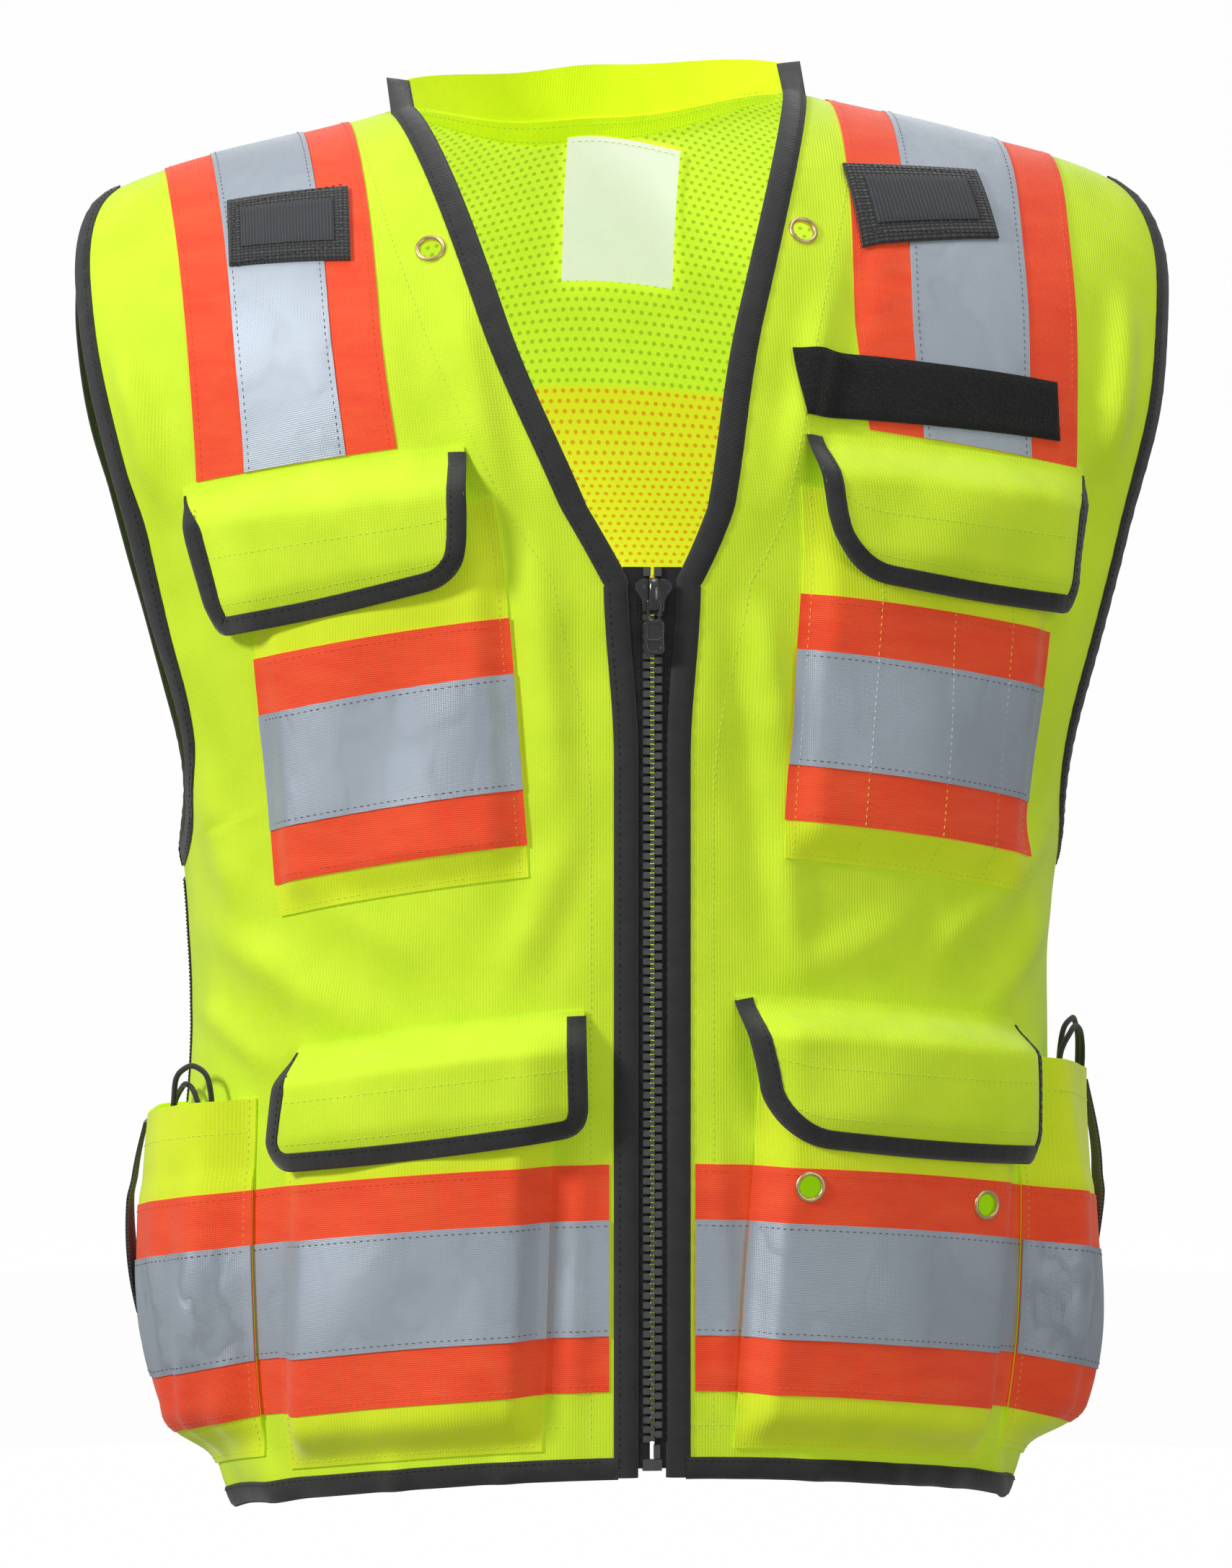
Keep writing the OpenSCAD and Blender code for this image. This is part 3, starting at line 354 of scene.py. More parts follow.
class Shader:
    """A Principled material with short calls to add nodes. u and h are millimetres on the cloth."""

    def __init__(self, name, **sockets):
        self.material = bpy.data.materials.new(name)
        self.material.use_nodes = True
        self.tree = self.material.node_tree
        self.bsdf = self.tree.nodes["Principled BSDF"]
        for socket, value in sockets.items():
            self.bsdf.inputs[socket.replace("_", " ")].default_value = value

    def node(self, kind, *values, out=0, **settings):
        n = self.tree.nodes.new(kind)
        for key, value in settings.items():
            setattr(n, key, value)
        for i, value in enumerate(values):
            if isinstance(value, Value):
                self.tree.links.new(value.socket, n.inputs[i])
            elif value is not None:
                n.inputs[i].default_value = value
        return Value(self, n.outputs[out])

    def math(self, operation, a, b=0.0):
        return self.node("ShaderNodeMath", a, b, operation=operation)

    def uv(self):
        flat = self.node("ShaderNodeTexCoord", out=2)
        return [self.node("ShaderNodeSeparateXYZ", flat, out=k) * (1 / MM) for k in (0, 1)]

    def noise(self, size, detail=2.0, rough=0.5, stretch=None):
        """Noise from 0 to 1 with features of that size in millimetres."""
        at = self.node("ShaderNodeTexCoord", out=3)
        if stretch:
            at = self.node("ShaderNodeMapping", at, None, None, stretch)
        return self.node("ShaderNodeTexNoise", at, None, 1 / MM / size, detail, rough)

    def wave(self, coordinate, pitch):
        """Wave from 0 to 1 along a coordinate."""
        return self.math("SINE", coordinate * (2 * math.pi / pitch)) * 0.5 + 0.5

    def ramp(self, value, low, high):
        """0 where the value is at low, 1 at high and straight between."""
        return self.node("ShaderNodeMapRange", value, low, high)

    def blend(self, amount, a, b):
        """Colour a where the amount is 0, and b where it is 1."""
        skipped = [None] * 5
        return self.node("ShaderNodeMix", amount, *skipped, a, b, out=2, data_type="RGBA")

    def link(self, value, socket):
        self.tree.links.new(value.socket, self.bsdf.inputs[socket])

    def finish(self, colour, height=None, depth=0.2, rough=None, emission=None):
        """Links the colour, the bump of that depth in millimetres and the roughness, and, where emission is
        given, a painted glow of the colour at that strength.
        """
        self.link(colour, "Base Color")
        if emission is not None:
            self.link(colour, "Emission Color")
            self.bsdf.inputs["Emission Strength"].default_value = emission
        if height is not None:
            bump = self.tree.nodes.new("ShaderNodeBump")
            bump.inputs["Strength"].default_value = 1.0
            bump.inputs["Distance"].default_value = depth * MM
            self.tree.links.new(height.socket, bump.inputs["Height"])
            self.tree.links.new(bump.outputs[0], self.bsdf.inputs["Normal"])
        if rough is not None:
            self.link(rough, "Roughness")
        return self.material


def rgb(r, g, b):
    return (r, g, b, 1.0)


def shade(colour, factor):
    return tuple(min(1.0, c * factor) for c in colour[:3]) + (1.0,)


def knit_material(name, colour, deep, glow):
    """Fluorescent tricot knit: fine wales and courses over soft unevenness, with a painted glow of its
    colour at the strength glow.
    """
    s = Shader(name, Roughness=0.75, Sheen_Weight=0.35, Sheen_Roughness=0.4, IOR=1.35)
    u, h = s.uv()
    wales = s.wave(u, 1.35)
    courses = s.wave(h, 0.95)
    uneven = s.ramp(s.noise(26, 3.0), 0.3, 0.7)
    thread = wales * 0.55 + courses * 0.25 + s.noise(1.1, 2.0) * 0.5
    tone = s.ramp(uneven * 0.5 + thread * 0.45, 0.0, 1.1)
    wrinkle = s.noise(48, 2.5, 0.45, (1.0, 1.0, 0.6)) * 20.0
    return s.finish(s.blend(tone, deep, colour), thread + wrinkle, 0.16, emission=glow)


def mesh_material(name, colour, deep):
    """Knitted mesh: staggered round holes, painted dark olive as shade seen through them and orange where
    the band lies behind, with a painted orange glow of the band over the cloth and a painted glow of its
    own.
    """
    s = Shader(name, Roughness=0.8, Sheen_Weight=0.3, IOR=1.35)
    u, h = s.uv()
    pitch_u, pitch_h = 4.2, 3.6
    rows = s.math("FLOOR", h * (1 / pitch_h))
    odd = s.math("MODULO", s.math("ABSOLUTE", rows), 2.0) * 0.5
    across = s.math("FRACT", u * (1 / pitch_u) + 500.0 + odd) - 0.5
    down = s.math("FRACT", h * (1 / pitch_h)) - 0.5
    x = across * pitch_u
    y = down * pitch_h
    spread = s.math("SQRT", x * x + y * (y * 1.6))
    hole = s.ramp(spread, 1.1, 0.7)
    band = s.ramp(h, BAND_H - 51.0, BAND_H - 48.0) * s.ramp(h, BAND_H + 51.0, BAND_H + 48.0)
    cloth = s.blend(s.noise(24, 3.0), deep, colour)
    # Painted glow: the cloth over the orange band is tinted orange as if the band's light came through it.
    band_glow = s.blend(band * 0.75, cloth, rgb(1.0, 0.8, 0.03))
    # Painted shade in the holes: dark olive where shade shows through them, and the band's orange where it
    # lies behind them.
    through = s.blend(band, rgb(0.45, 0.60, 0.03), rgb(1.0, 0.36, 0.01))
    lit = s.blend(hole, band_glow, through)
    height = s.noise(1.0) * 0.3 - hole * 1.5
    # Emission 0.36 is a painted glow of the mesh's colour.
    return s.finish(lit, height, 0.3, emission=0.36)


def orange_material():
    s = Shader("orange_tape", Roughness=0.62, Sheen_Weight=0.25, IOR=1.4)
    u, h = s.uv()
    weft = s.wave(h, 0.9)
    warp = s.wave(u, 0.8)
    crease = s.noise(14, 4.0, 0.6, (0.5, 0.5, 1.6))
    thread = weft * 0.5 + warp * 0.3 + crease * 2.2
    # Painted shade: the tone follows the crease noise that also raises the bump, darker in the crease
    # valleys, and the weft.
    tone = s.ramp(crease, 0.3, 0.7) * 0.7 + weft * 0.3
    colour = s.blend(tone, rgb(0.92, 0.055, 0.012), rgb(1.0, 0.105, 0.022))
    # Emission 0.14 is a painted glow of the tape's colour.
    return s.finish(colour, thread, 0.22, emission=0.14)


def silver_material(name, crumple):
    """Glass bead tape: a satin grey face with a fine grid, and creases where it has been bent, with painted
    shade: lighter on the crests of the creases, darker in their valleys and along their sharp lines.
    """
    s = Shader(name, Metallic=0.35, Roughness=0.46, IOR=1.5, Sheen_Weight=0.15)
    u, h = s.uv()
    grid = s.wave(u, 0.75) * 0.5 + s.wave(h, 0.75) * 0.5
    crease = s.noise(34, 2.5, 0.5, (1.0, 1.0, 0.6))
    fine = s.noise(0.8, 2.0)
    fold = s.math("ABSOLUTE", crease - 0.5)
    sharp = s.ramp(fold, 0.0, 0.06)
    # Painted shade: lighter where the crease bump is high, darker where it is low; the fine speckle and
    # grid are the tape's own.
    tone = s.ramp(crease, 0.25, 0.75) * 0.55 + fine * 0.2 + grid * 0.25
    colour = s.blend(tone, rgb(0.43, 0.49, 0.56), rgb(0.53, 0.60, 0.68))
    # Painted shade: darker grey along the sharp crease lines, more on crumpled tape.
    wear_and_crease_shade = s.blend((1.0 - sharp) * (0.25 * crumple), colour, rgb(0.2, 0.24, 0.29))
    height = grid * 0.1 + crease * (5.0 * crumple) + sharp * (0.5 * crumple)
    return s.finish(wear_and_crease_shade, height, 0.9)


def black_cloth_material(name, pitch, tone=0.026, weave=1.0):
    """Black woven binding or tape: a fine twill with a little lint."""
    s = Shader(name, Roughness=0.85, Sheen_Weight=0.35, Sheen_Roughness=0.5, IOR=1.4)
    u, h = s.uv()
    twill = s.wave(u + h, pitch)
    rib = s.wave(u - h, pitch * 1.4)
    lint = s.ramp(s.noise(0.9, 2.0), 0.66, 0.8)
    uneven = s.noise(9, 3.0)
    level = twill * 0.35 + uneven * 0.5 + lint * 0.6
    dark, light = rgb(tone * 0.5, tone * 0.55, tone * 0.55), rgb(tone * 2.2, tone * 2.3, tone * 2.2)
    colour = s.blend(level, dark, light)
    height = twill * 0.6 + rib * 0.3 + uneven * 0.8
    return s.finish(colour, height, 0.25 * weave)


def webbing_material():
    """Heavy black webbing: a basket weave of thick yarns."""
    s = Shader("webbing", Roughness=0.8, Sheen_Weight=0.4, IOR=1.4)
    u, h = s.uv()
    across = s.math("ABSOLUTE", s.math("SINE", u * (math.pi / 2.1)))
    yarn = across * s.math("ABSOLUTE", s.math("SINE", h * (math.pi / 1.5)))
    turn = s.wave(u, 4.2) * s.wave(h, 3.0)
    level = yarn * 0.7 + turn * 0.4 + s.noise(0.8) * 0.2
    colour = s.blend(level, rgb(0.006, 0.006, 0.007), rgb(0.06, 0.062, 0.064))
    return s.finish(colour, level, 0.6)


def ribbon_material():
    """Ribbed grosgrain ribbon."""
    s = Shader("ribbon", Roughness=0.6, Sheen_Weight=0.3, IOR=1.45)
    ribs = s.wave(s.uv()[0], 1.7)
    level = ribs * 0.7 + s.noise(7) * 0.3
    colour = s.blend(level, rgb(0.014, 0.017, 0.02), rgb(0.06, 0.07, 0.08))
    return s.finish(colour, ribs, 0.35)


def pile_material(name, low, high, depth=0.8):
    """Loop or hook pile: dense tiny tufts."""
    s = Shader(name, Roughness=0.95, Sheen_Weight=0.25, IOR=1.3)
    tufts = s.noise(1.3, 3.0, 0.7)
    patches = s.noise(9, 2.0)
    level = s.ramp(tufts, 0.3, 0.7) * 0.65 + patches * 0.35
    return s.finish(s.blend(level, low, high), tufts, depth)


def thread_material(name, colour):
    s = Shader(name, Roughness=0.55, IOR=1.45, Sheen_Weight=0.2)
    tone = s.noise(1.0, 2.0)
    return s.finish(s.blend(tone, shade(colour, 0.75), colour), s.noise(0.4), 0.05)


def plastic_material(name, tone, rough):
    s = Shader(name, Roughness=rough, IOR=1.48)
    level = s.noise(3, 3.0)
    dark, light = rgb(tone * 0.7, tone * 0.7, tone * 0.72), rgb(tone * 1.4, tone * 1.4, tone * 1.45)
    colour = s.blend(level, dark, light)
    return s.finish(colour, s.noise(0.7, 2.0), 0.03)


def enamel_material():
    s = Shader("slider_enamel", Roughness=0.2, Metallic=0.6, IOR=1.5, Coat_Weight=1.0, Coat_Roughness=0.1)
    # Lighter grey patches where the enamel is rubbed away: wear.
    wear_and_crease_shade = s.ramp(s.noise(2.2, 4.0, 0.65), 0.62, 0.74)
    colour = s.blend(wear_and_crease_shade, rgb(0.07, 0.07, 0.075), rgb(0.24, 0.24, 0.25))
    return s.finish(colour, s.noise(1.5, 3.0), 0.04)


def brass_material():
    s = Shader("brass_plate", Metallic=1.0, Roughness=0.2, IOR=1.5)
    tarnish = s.noise(3.5, 4.0, 0.6)
    colour = s.blend(tarnish, rgb(0.62, 0.42, 0.17), rgb(0.93, 0.76, 0.42))
    return s.finish(colour, s.noise(0.6, 2.0), 0.02, rough=s.ramp(tarnish, -0.6, 2.4))


def label_material():
    s = Shader("label_satin", Roughness=0.5, Sheen_Weight=0.4, IOR=1.4)
    u, h = s.uv()
    weave = s.wave(u, 0.5) * 0.4 + s.wave(h, 0.5) * 0.4 + s.noise(8) * 0.4
    # Emission 0.5 is a painted glow of the label's colour.
    return s.finish(s.blend(weave, rgb(0.78, 0.77, 0.88), rgb(0.92, 0.90, 1.0)), weave, 0.08, emission=0.5)


# The last number of each knit is a painted glow; the inner knit of the collar and facing glows most.
LIME = knit_material("lime_knit", rgb(0.76, 1.0, 0.04), rgb(0.58, 0.84, 0.02), 0.12)
LIME_INNER = knit_material("lime_inner_knit", rgb(0.80, 1.0, 0.01), rgb(0.66, 0.88, 0.006), 0.32)
LIME_POCKET = knit_material("lime_pocket_knit", rgb(0.84, 1.0, 0.03), rgb(0.68, 0.86, 0.015), 0.12)
MESH = mesh_material("lime_mesh", rgb(0.82, 1.0, 0.07), rgb(0.68, 0.90, 0.04))
ORANGE = orange_material()
# The crumpled silver tape has deeper creases and more painted shade along them.
SILVER = silver_material("silver_tape", 0.3)
SILVER_CRUMPLED = silver_material("silver_tape_crumpled", 0.9)
BINDING = black_cloth_material("black_binding", 1.1)
ZIP_TAPE = black_cloth_material("zipper_tape", 0.9, 0.014)
WEBBING = webbing_material()
RIBBON = ribbon_material()
LOOP = pile_material("black_loop_pile", rgb(0.003, 0.003, 0.003), rgb(0.022, 0.022, 0.023))
LIME_LOOP = pile_material("lime_loop_pile", rgb(0.5, 0.8, 0.03), rgb(0.68, 0.98, 0.1), 0.5)
TEETH = plastic_material("moulded_teeth", 0.09, 0.3)
ENAMEL = enamel_material()
BRASS = brass_material()
LABEL = label_material()
CORD = black_cloth_material("braided_cord", 0.7, 0.02)
THREADS = {
    "lime": thread_material("lime_thread", rgb(0.72, 0.98, 0.16)),
    "dark": thread_material("dark_thread", rgb(0.035, 0.045, 0.06)),
    "yellow": thread_material("yellow_thread", rgb(0.85, 0.85, 0.10)),
    "orange": thread_material("orange_thread", rgb(1.0, 0.13, 0.03)),
    "white": thread_material("white_thread", rgb(0.85, 0.87, 0.9)),
    "black": thread_material("black_thread", rgb(0.012, 0.012, 0.013)),
}
THREAD_SLOTS = {"dark": "silver_tape", "orange": "orange_tape", "black": "webbing"}


# ---------- Meshes ----------

def add_piece(mesh, material, slot, nodes, body, sharp):
    """Smooth object of a mesh, sharp at edges over that many degrees, tied to the frame."""
    mesh.polygons.foreach_set("use_smooth", np.ones(len(mesh.polygons), bool))
    mesh.set_sharp_from_angle(angle=math.radians(sharp))
    mesh.materials.append(material)
    mesh.update()
    obj = link(mesh.name, mesh)
    if body:
        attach(obj, body)
    if nodes:
        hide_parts(*nodes)
    return obj


def build(name, verts, faces, material, slot, nodes=(), uv=None, body="vest", sharp=45):
    """Makes a mesh object of a list of faces, riding on a body and standing for CAD nodes."""
    mesh = bpy.data.meshes.new(name)
    mesh.from_pydata((np.asarray(verts) * MM).tolist(), [], [list(map(int, f)) for f in faces])
    if uv is not None:
        layer = mesh.uv_layers.new(name="cloth")
        corner = np.empty(len(mesh.loops), int)
        mesh.loops.foreach_get("vertex_index", corner)
        layer.data.foreach_set("uv", (np.asarray(uv)[corner] * MM).astype(np.float32).ravel())
    return add_piece(mesh, material, slot, nodes, body, sharp)


def grid_faces(rows, cols, start=0, flip=False, wrap=False):
    """Quads of a grid of vertices, closed across its columns if wrap is set."""
    i, j = np.meshgrid(np.arange(rows - 1), np.arange(cols if wrap else cols - 1), indexing="ij")
    k = (j + 1) % cols
    quads = np.stack([i * cols + j, i * cols + k, (i + 1) * cols + k, (i + 1) * cols + j], -1)
    quads = quads.reshape(-1, 4) + start
    return quads[:, ::-1] if flip else quads


class Shell:
    """Closed cloth between an outer and an inner grid of points."""

    def __init__(self, outer, inner, uv, flip):
        rows, cols = outer.shape[:2]
        n = rows * cols
        self.verts = np.concatenate([outer.reshape(-1, 3), inner.reshape(-1, 3)])
        self.uv = np.concatenate([uv.reshape(-1, 2)] * 2)
        self.half = n
        self.outer = grid_faces(rows, cols, 0, flip)
        self.inner = grid_faces(rows, cols, n, not flip)
        index = np.arange(n).reshape(rows, cols)
        edge = np.concatenate([index[0], index[1:, -1], index[-1, -2::-1], index[-2:0:-1, 0]])
        after = np.roll(edge, -1)
        rim = np.stack([edge, edge + n, after + n, after], -1)
        self.rim = rim[:, ::-1] if flip else rim

    def cut_hole(self, centre, radius):
        """Cuts a round hole and draws its edge onto a circle."""
        gone = np.linalg.norm(self.verts[self.outer].mean(1) - centre, axis=1) < radius
        kept, dropped = self.outer[~gone], self.outer[gone]
        edge = np.intersect1d(kept, dropped)
        for k in (0, self.half):
            away = self.verts[edge + k] - centre
            scale = radius / np.linalg.norm(away, axis=1, keepdims=True)
            self.verts[edge + k] = centre + away * scale
        pairs = np.concatenate([dropped[:, [a, (a + 1) % 4]] for a in range(4)])
        keys = {tuple(p) for p in pairs.tolist()}
        walls = [(a, b, b + self.half, a + self.half) for a, b in keys if (b, a) not in keys]
        self.outer, self.inner = kept, self.inner[~gone]
        self.rim = np.concatenate([self.rim, np.array(walls)])

    def faces(self):
        return np.concatenate([self.outer, self.inner, self.rim]).tolist()


def compact(verts, faces, uv):
    """Drops vertices that no face uses."""
    flat = [v for f in faces for v in f]
    used = np.unique(flat)
    index = {int(old): new for new, old in enumerate(used)}
    return verts[used], [[index[v] for v in f] for f in faces], uv[used]


def cloth(name, place, u, h, off, thick, material, slot, nodes=(), hand=LEFT, holes=(), body="vest",
          uv=None):
    """Cloth over the grid of u and h, from off to off + thick above its surface."""
    outer, inner = place(u, h, off + thick), place(u, h, off)
    uv = np.stack([u, h], -1) if uv is None else uv
    shell = Shell(outer, inner, uv, hand < 0)
    for centre, radius in holes:
        shell.cut_hole(centre, radius)
    verts, faces, uv = compact(shell.verts, shell.faces(), shell.uv)
    return build(name, verts, faces, material, slot, nodes, uv, body)


def grid(u0, u1, h0, h1, step=4.0, nu=None, nh=None):
    """Even grid of u and h with about that spacing, where u0 and u1 may be functions of h."""
    nh = nh or max(2, round(abs(h1 - h0) / step) + 1)
    h = np.linspace(h0, h1, nh)
    lo = u0(h) if callable(u0) else u0 + 0 * h
    hi = u1(h) if callable(u1) else u1 + 0 * h
    nu = nu or max(2, round(float(np.max(np.abs(hi - lo))) / step) + 1)
    s = np.linspace(0, 1, nu)
    return mix(lo[:, None], hi[:, None], s[None]), np.repeat(h[:, None], nu, 1)


# Cross sections of folded edge tape, as distance in from the edge and height above the cloth
def fold_profile(width, over_cloth, under=-0.4):
    top = over_cloth
    return [(width, top), (width - 0.4, top + 0.7), (width * 0.5, top + 0.95), (1.2, top + 0.8),
            (-0.7, top * 0.5 + 0.2), (-0.9, under * 0.5), (0.8, under - 0.8), (width * 0.5, under - 0.8),
            (width - 1, under - 0.6), (width - 1, under), (width * 0.5, under), (0.9, under + 0.1),
            (0.4, top * 0.5), (1.0, top - 0.05), (width * 0.5, top)]


def sweep(name, rings, material, slot, nodes=(), hand=LEFT, body="vest", uv=None, closed_ends=True):
    """Solid through a row of closed rings of points."""
    rows, cols = rings.shape[:2]
    faces = grid_faces(rows, cols, 0, hand > 0, wrap=True).tolist()
    if closed_ends:
        first, last = list(range(cols)), list(range((rows - 1) * cols, rows * cols))
        faces += [first if hand > 0 else first[::-1], last[::-1] if hand > 0 else last]
    if uv is None:
        steps = np.linalg.norm(np.diff(rings[:, 0], axis=0), axis=1)
        along = np.concatenate([[0], np.cumsum(steps)])
        round_it = np.linalg.norm(rings - np.roll(rings, 1, axis=1), axis=2).mean(0).cumsum()
        uv = np.stack(np.broadcast_arrays(round_it[None], along[:, None]), -1)
    return build(name, rings.reshape(-1, 3), faces, material, slot, nodes, uv.reshape(-1, 2), body, 60)


def resample(points, pitch):
    """Points at an even pitch along a line of points."""
    points = np.asarray(points, float)
    run = np.concatenate([[0], np.cumsum(np.linalg.norm(np.diff(points, axis=0), axis=1))])
    count = max(2, round(run[-1] / pitch) + 1)
    at = np.linspace(0, run[-1], count)
    return np.stack([np.interp(at, run, points[:, k]) for k in range(points.shape[1])], -1)


def edge_rings(place, path, inward, profile, narrow=1.0):
    """Rings of a folded edge tape along a path of u and h, made narrower where narrow is under 1."""
    pucker = 0.18 * np.sin(np.arange(len(path)) * 2.4)
    rings = []
    for w, off in profile:
        u = path[:, 0] + w * narrow * inward[:, 0]
        h = path[:, 1] + w * narrow * inward[:, 1]
        rings.append(place(u, h, off + pucker * (w > 1)))
    return np.stack(rings, 1)


def left_of(path):
    """Unit directions to the left of a path, as seen with u to the right and h up."""
    run = np.gradient(np.asarray(path, float), axis=0)
    return unit(np.stack([-run[:, 1], run[:, 0]], -1))


class Stitching:
    """Collects rows of short raised stitches, one mesh for each thread colour and body."""

    def __init__(self):
        self.groups = {}

    def row(self, place, path, off, thread="lime", key="vest", pitch=STITCH_PITCH, length=2.2, width=0.55):
        path = np.asarray(path, float)
        fine = resample(path, 1.0)
        line = place(fine[:, 0], fine[:, 1], off)
        run = np.concatenate([[0], np.cumsum(np.linalg.norm(np.diff(line, axis=0), axis=1))])
        middle = np.arange(pitch / 2, run[-1], pitch)
        at = [np.stack([np.interp(middle + d, run, fine[:, k]) for k in (0, 1)], -1)
              for d in (-length / 2, 0, length / 2)]
        start, top, end = (place(q[:, 0], q[:, 1], off + lift) for q, lift in zip(at, (-0.05, 0.45, -0.05)))
        base = place(at[1][:, 0], at[1][:, 1], off - 0.05)
        across = unit(np.cross(end - start, top - base)) * width / 2
        verts = np.stack([start, end, base + across, base - across, top], 1).reshape(-1, 3)
        pattern = np.array([[0, 2, 4], [0, 4, 3], [1, 4, 2], [1, 3, 4], [0, 3, 1], [0, 1, 2]])
        faces = (pattern[None] + 5 * np.arange(len(middle))[:, None, None]).reshape(-1, 3)
        self.groups.setdefault((thread, key), []).append((verts, faces))

    def make(self):
        made = {}
        for (thread, key), rows in self.groups.items():
            shift, verts, faces = 0, [], []
            for v, f in rows:
                verts.append(v)
                faces.append(f + shift)
                shift += len(v)
            slot = THREAD_SLOTS.get(thread, "lime_fabric")
            obj = build(f"stitches_{thread}_{key}", np.concatenate(verts), np.concatenate(faces).tolist(),
                        THREADS[thread], slot, body="vest" if key == "vest" else None, sharp=80)
            made[key] = made.get(key, []) + [obj]
        return made


stitching = Stitching()


# ---------- Cords ----------

# Routes of the elastic cords, in metres, as in the CAD model
CORD_D = 0.0026
CORD_RIGHT = [
    (-0.191, -0.058, -0.499), (-0.191, -0.058, -0.481), (-0.191, -0.059, -0.465),
    (-0.191, -0.060, -0.453), (-0.193, -0.057, -0.443), (-0.198, -0.051, -0.439),
    (-0.202, -0.044, -0.440), (-0.206, -0.037, -0.445), (-0.207, -0.033, -0.456),
    (-0.208, -0.032, -0.469), (-0.207, -0.032, -0.481), (-0.208, -0.030, -0.490),
    (-0.208, -0.024, -0.495), (-0.208, -0.018, -0.490), (-0.207, -0.016, -0.480),
    (-0.207, -0.015, -0.467), (-0.206, -0.017, -0.457), (-0.203, -0.023, -0.450),
    (-0.201, -0.030, -0.448), (-0.198, -0.038, -0.451), (-0.196, -0.044, -0.459),
    (-0.195, -0.046, -0.471), (-0.196, -0.046, -0.487), (-0.196, -0.046, -0.501),
]
CORD_LEFT = [
    (0.195, -0.052, -0.492), (0.195, -0.052, -0.476), (0.194, -0.052, -0.460),
    (0.195, -0.052, -0.446), (0.197, -0.049, -0.434), (0.202, -0.044, -0.426),
    (0.206, -0.036, -0.423), (0.210, -0.027, -0.426), (0.212, -0.021, -0.434),
    (0.212, -0.019, -0.445), (0.211, -0.018, -0.458), (0.212, -0.017, -0.468),
    (0.212, -0.014, -0.476), (0.212, -0.009, -0.479), (0.212, -0.004, -0.476),
    (0.212, -0.001, -0.467), (0.213, -0.001, -0.452), (0.213, -0.004, -0.438),
    (0.212, -0.009, -0.428), (0.209, -0.017, -0.421), (0.206, -0.026, -0.420),
    (0.201, -0.034, -0.424), (0.198, -0.040, -0.434), (0.197, -0.042, -0.448),
    (0.196, -0.043, -0.463), (0.197, -0.044, -0.479), (0.197, -0.044, -0.493),
]


def smooth_route(route, per_step=5):
    p = np.array(route)
    last = len(p) - 1
    points = []
    for i in range(last):
        around = [p[max(0, i - 1)], p[i], p[i + 1], p[min(last, i + 2)]]
        points += [spline(*around, k / per_step) for k in range(per_step)]
    return np.array(points + [p[last]])


def elastic_cord(name, route):
    """Round braided elastic that stands out of a side pocket in two loops."""
    line = smooth_route(route)
    tangent = unit(np.gradient(line, axis=0))
    across = [unit(np.cross(tangent[0], [0, 1, 0]))]
    for t in tangent[1:]:
        across.append(unit(across[-1] - np.dot(across[-1], t) * t))
    across = np.array(across)
    third = np.cross(tangent, across)
    turn = 2 * math.pi * np.arange(12) / 12
    radius = CORD_D / 2
    rings = (line[:, None] + radius * (np.cos(turn)[None, :, None] * across[:, None]
                                       + np.sin(turn)[None, :, None] * third[:, None]))
    obj = sweep(name + "_braid", rings / MM, CORD, "elastic_cord", [name])
    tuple(route[0])


elastic_cord("elastic_cord_right", CORD_RIGHT)
elastic_cord("elastic_cord_left", CORD_LEFT)


# ---------- Panels ----------

CHEST_GROMMET = {RIGHT: (84, -100), LEFT: (84, -97)}
HOLE_R = 6.0


def front_panel(hand, side_name):
    place = front_skin(hand)
    u, h = grid(front_in, lambda h: arm_edge(1, h), HEM_H, FRONT_TOP, 4.0)
    centre = place(*CHEST_GROMMET[hand], CLOTH / 2)
    obj = cloth(f"front_panel_{side_name}_cloth", place, u, h, 0, CLOTH, LIME, "lime_fabric",
                [f"front_panel_{side_name}"], hand, [(centre, HOLE_R)])
    # Facing stitches beside the zipper and up the V
    facing_h = np.linspace(HEM_H + 16, -20, 90)
    facing_u = front_in(facing_h) + mix(19, 34, ease(-330, -180, facing_h)) - 4 * ease(-100, -20, facing_h)
    stitching.row(place, np.stack([facing_u, facing_h], 1), CLOTH)


def back_panel():
    split = -200
    h = np.concatenate([np.linspace(HEM_H, split, 108), np.linspace(split, BACK_TOP, 66)[1:]])
    w = np.linspace(1, -1, 140)[None]
    edge = arm_edge(-1, h)[:, None]
    third = mix(edge / 3, NECK_HALF, ease(split, BACK_TOP, h)[:, None])
    v = np.abs(w)
    u = np.sign(w) * np.where(v <= 1 / 3, v * 3 * third, mix(third, edge, (v - 1 / 3) * 1.5))
    top_edge = arm_edge(-1, np.array([BACK_TOP]))[0]
    top_u = np.where(v <= 1 / 3, v * 3 * NECK_HALF, mix(NECK_HALF, top_edge, (v - 1 / 3) * 1.5))
    rise = np.clip((h[:, None] - split) / (BACK_TOP - split), 0, 1)
    height = np.where(h[:, None] <= split, h[:, None] + 0 * w, mix(split, back_edge(top_u), rise))
    place = back_skin()
    obj = cloth("back_panel_mesh", place, u, height, 0, CLOTH, MESH, "mesh_fabric", ["back_panel"], LEFT)


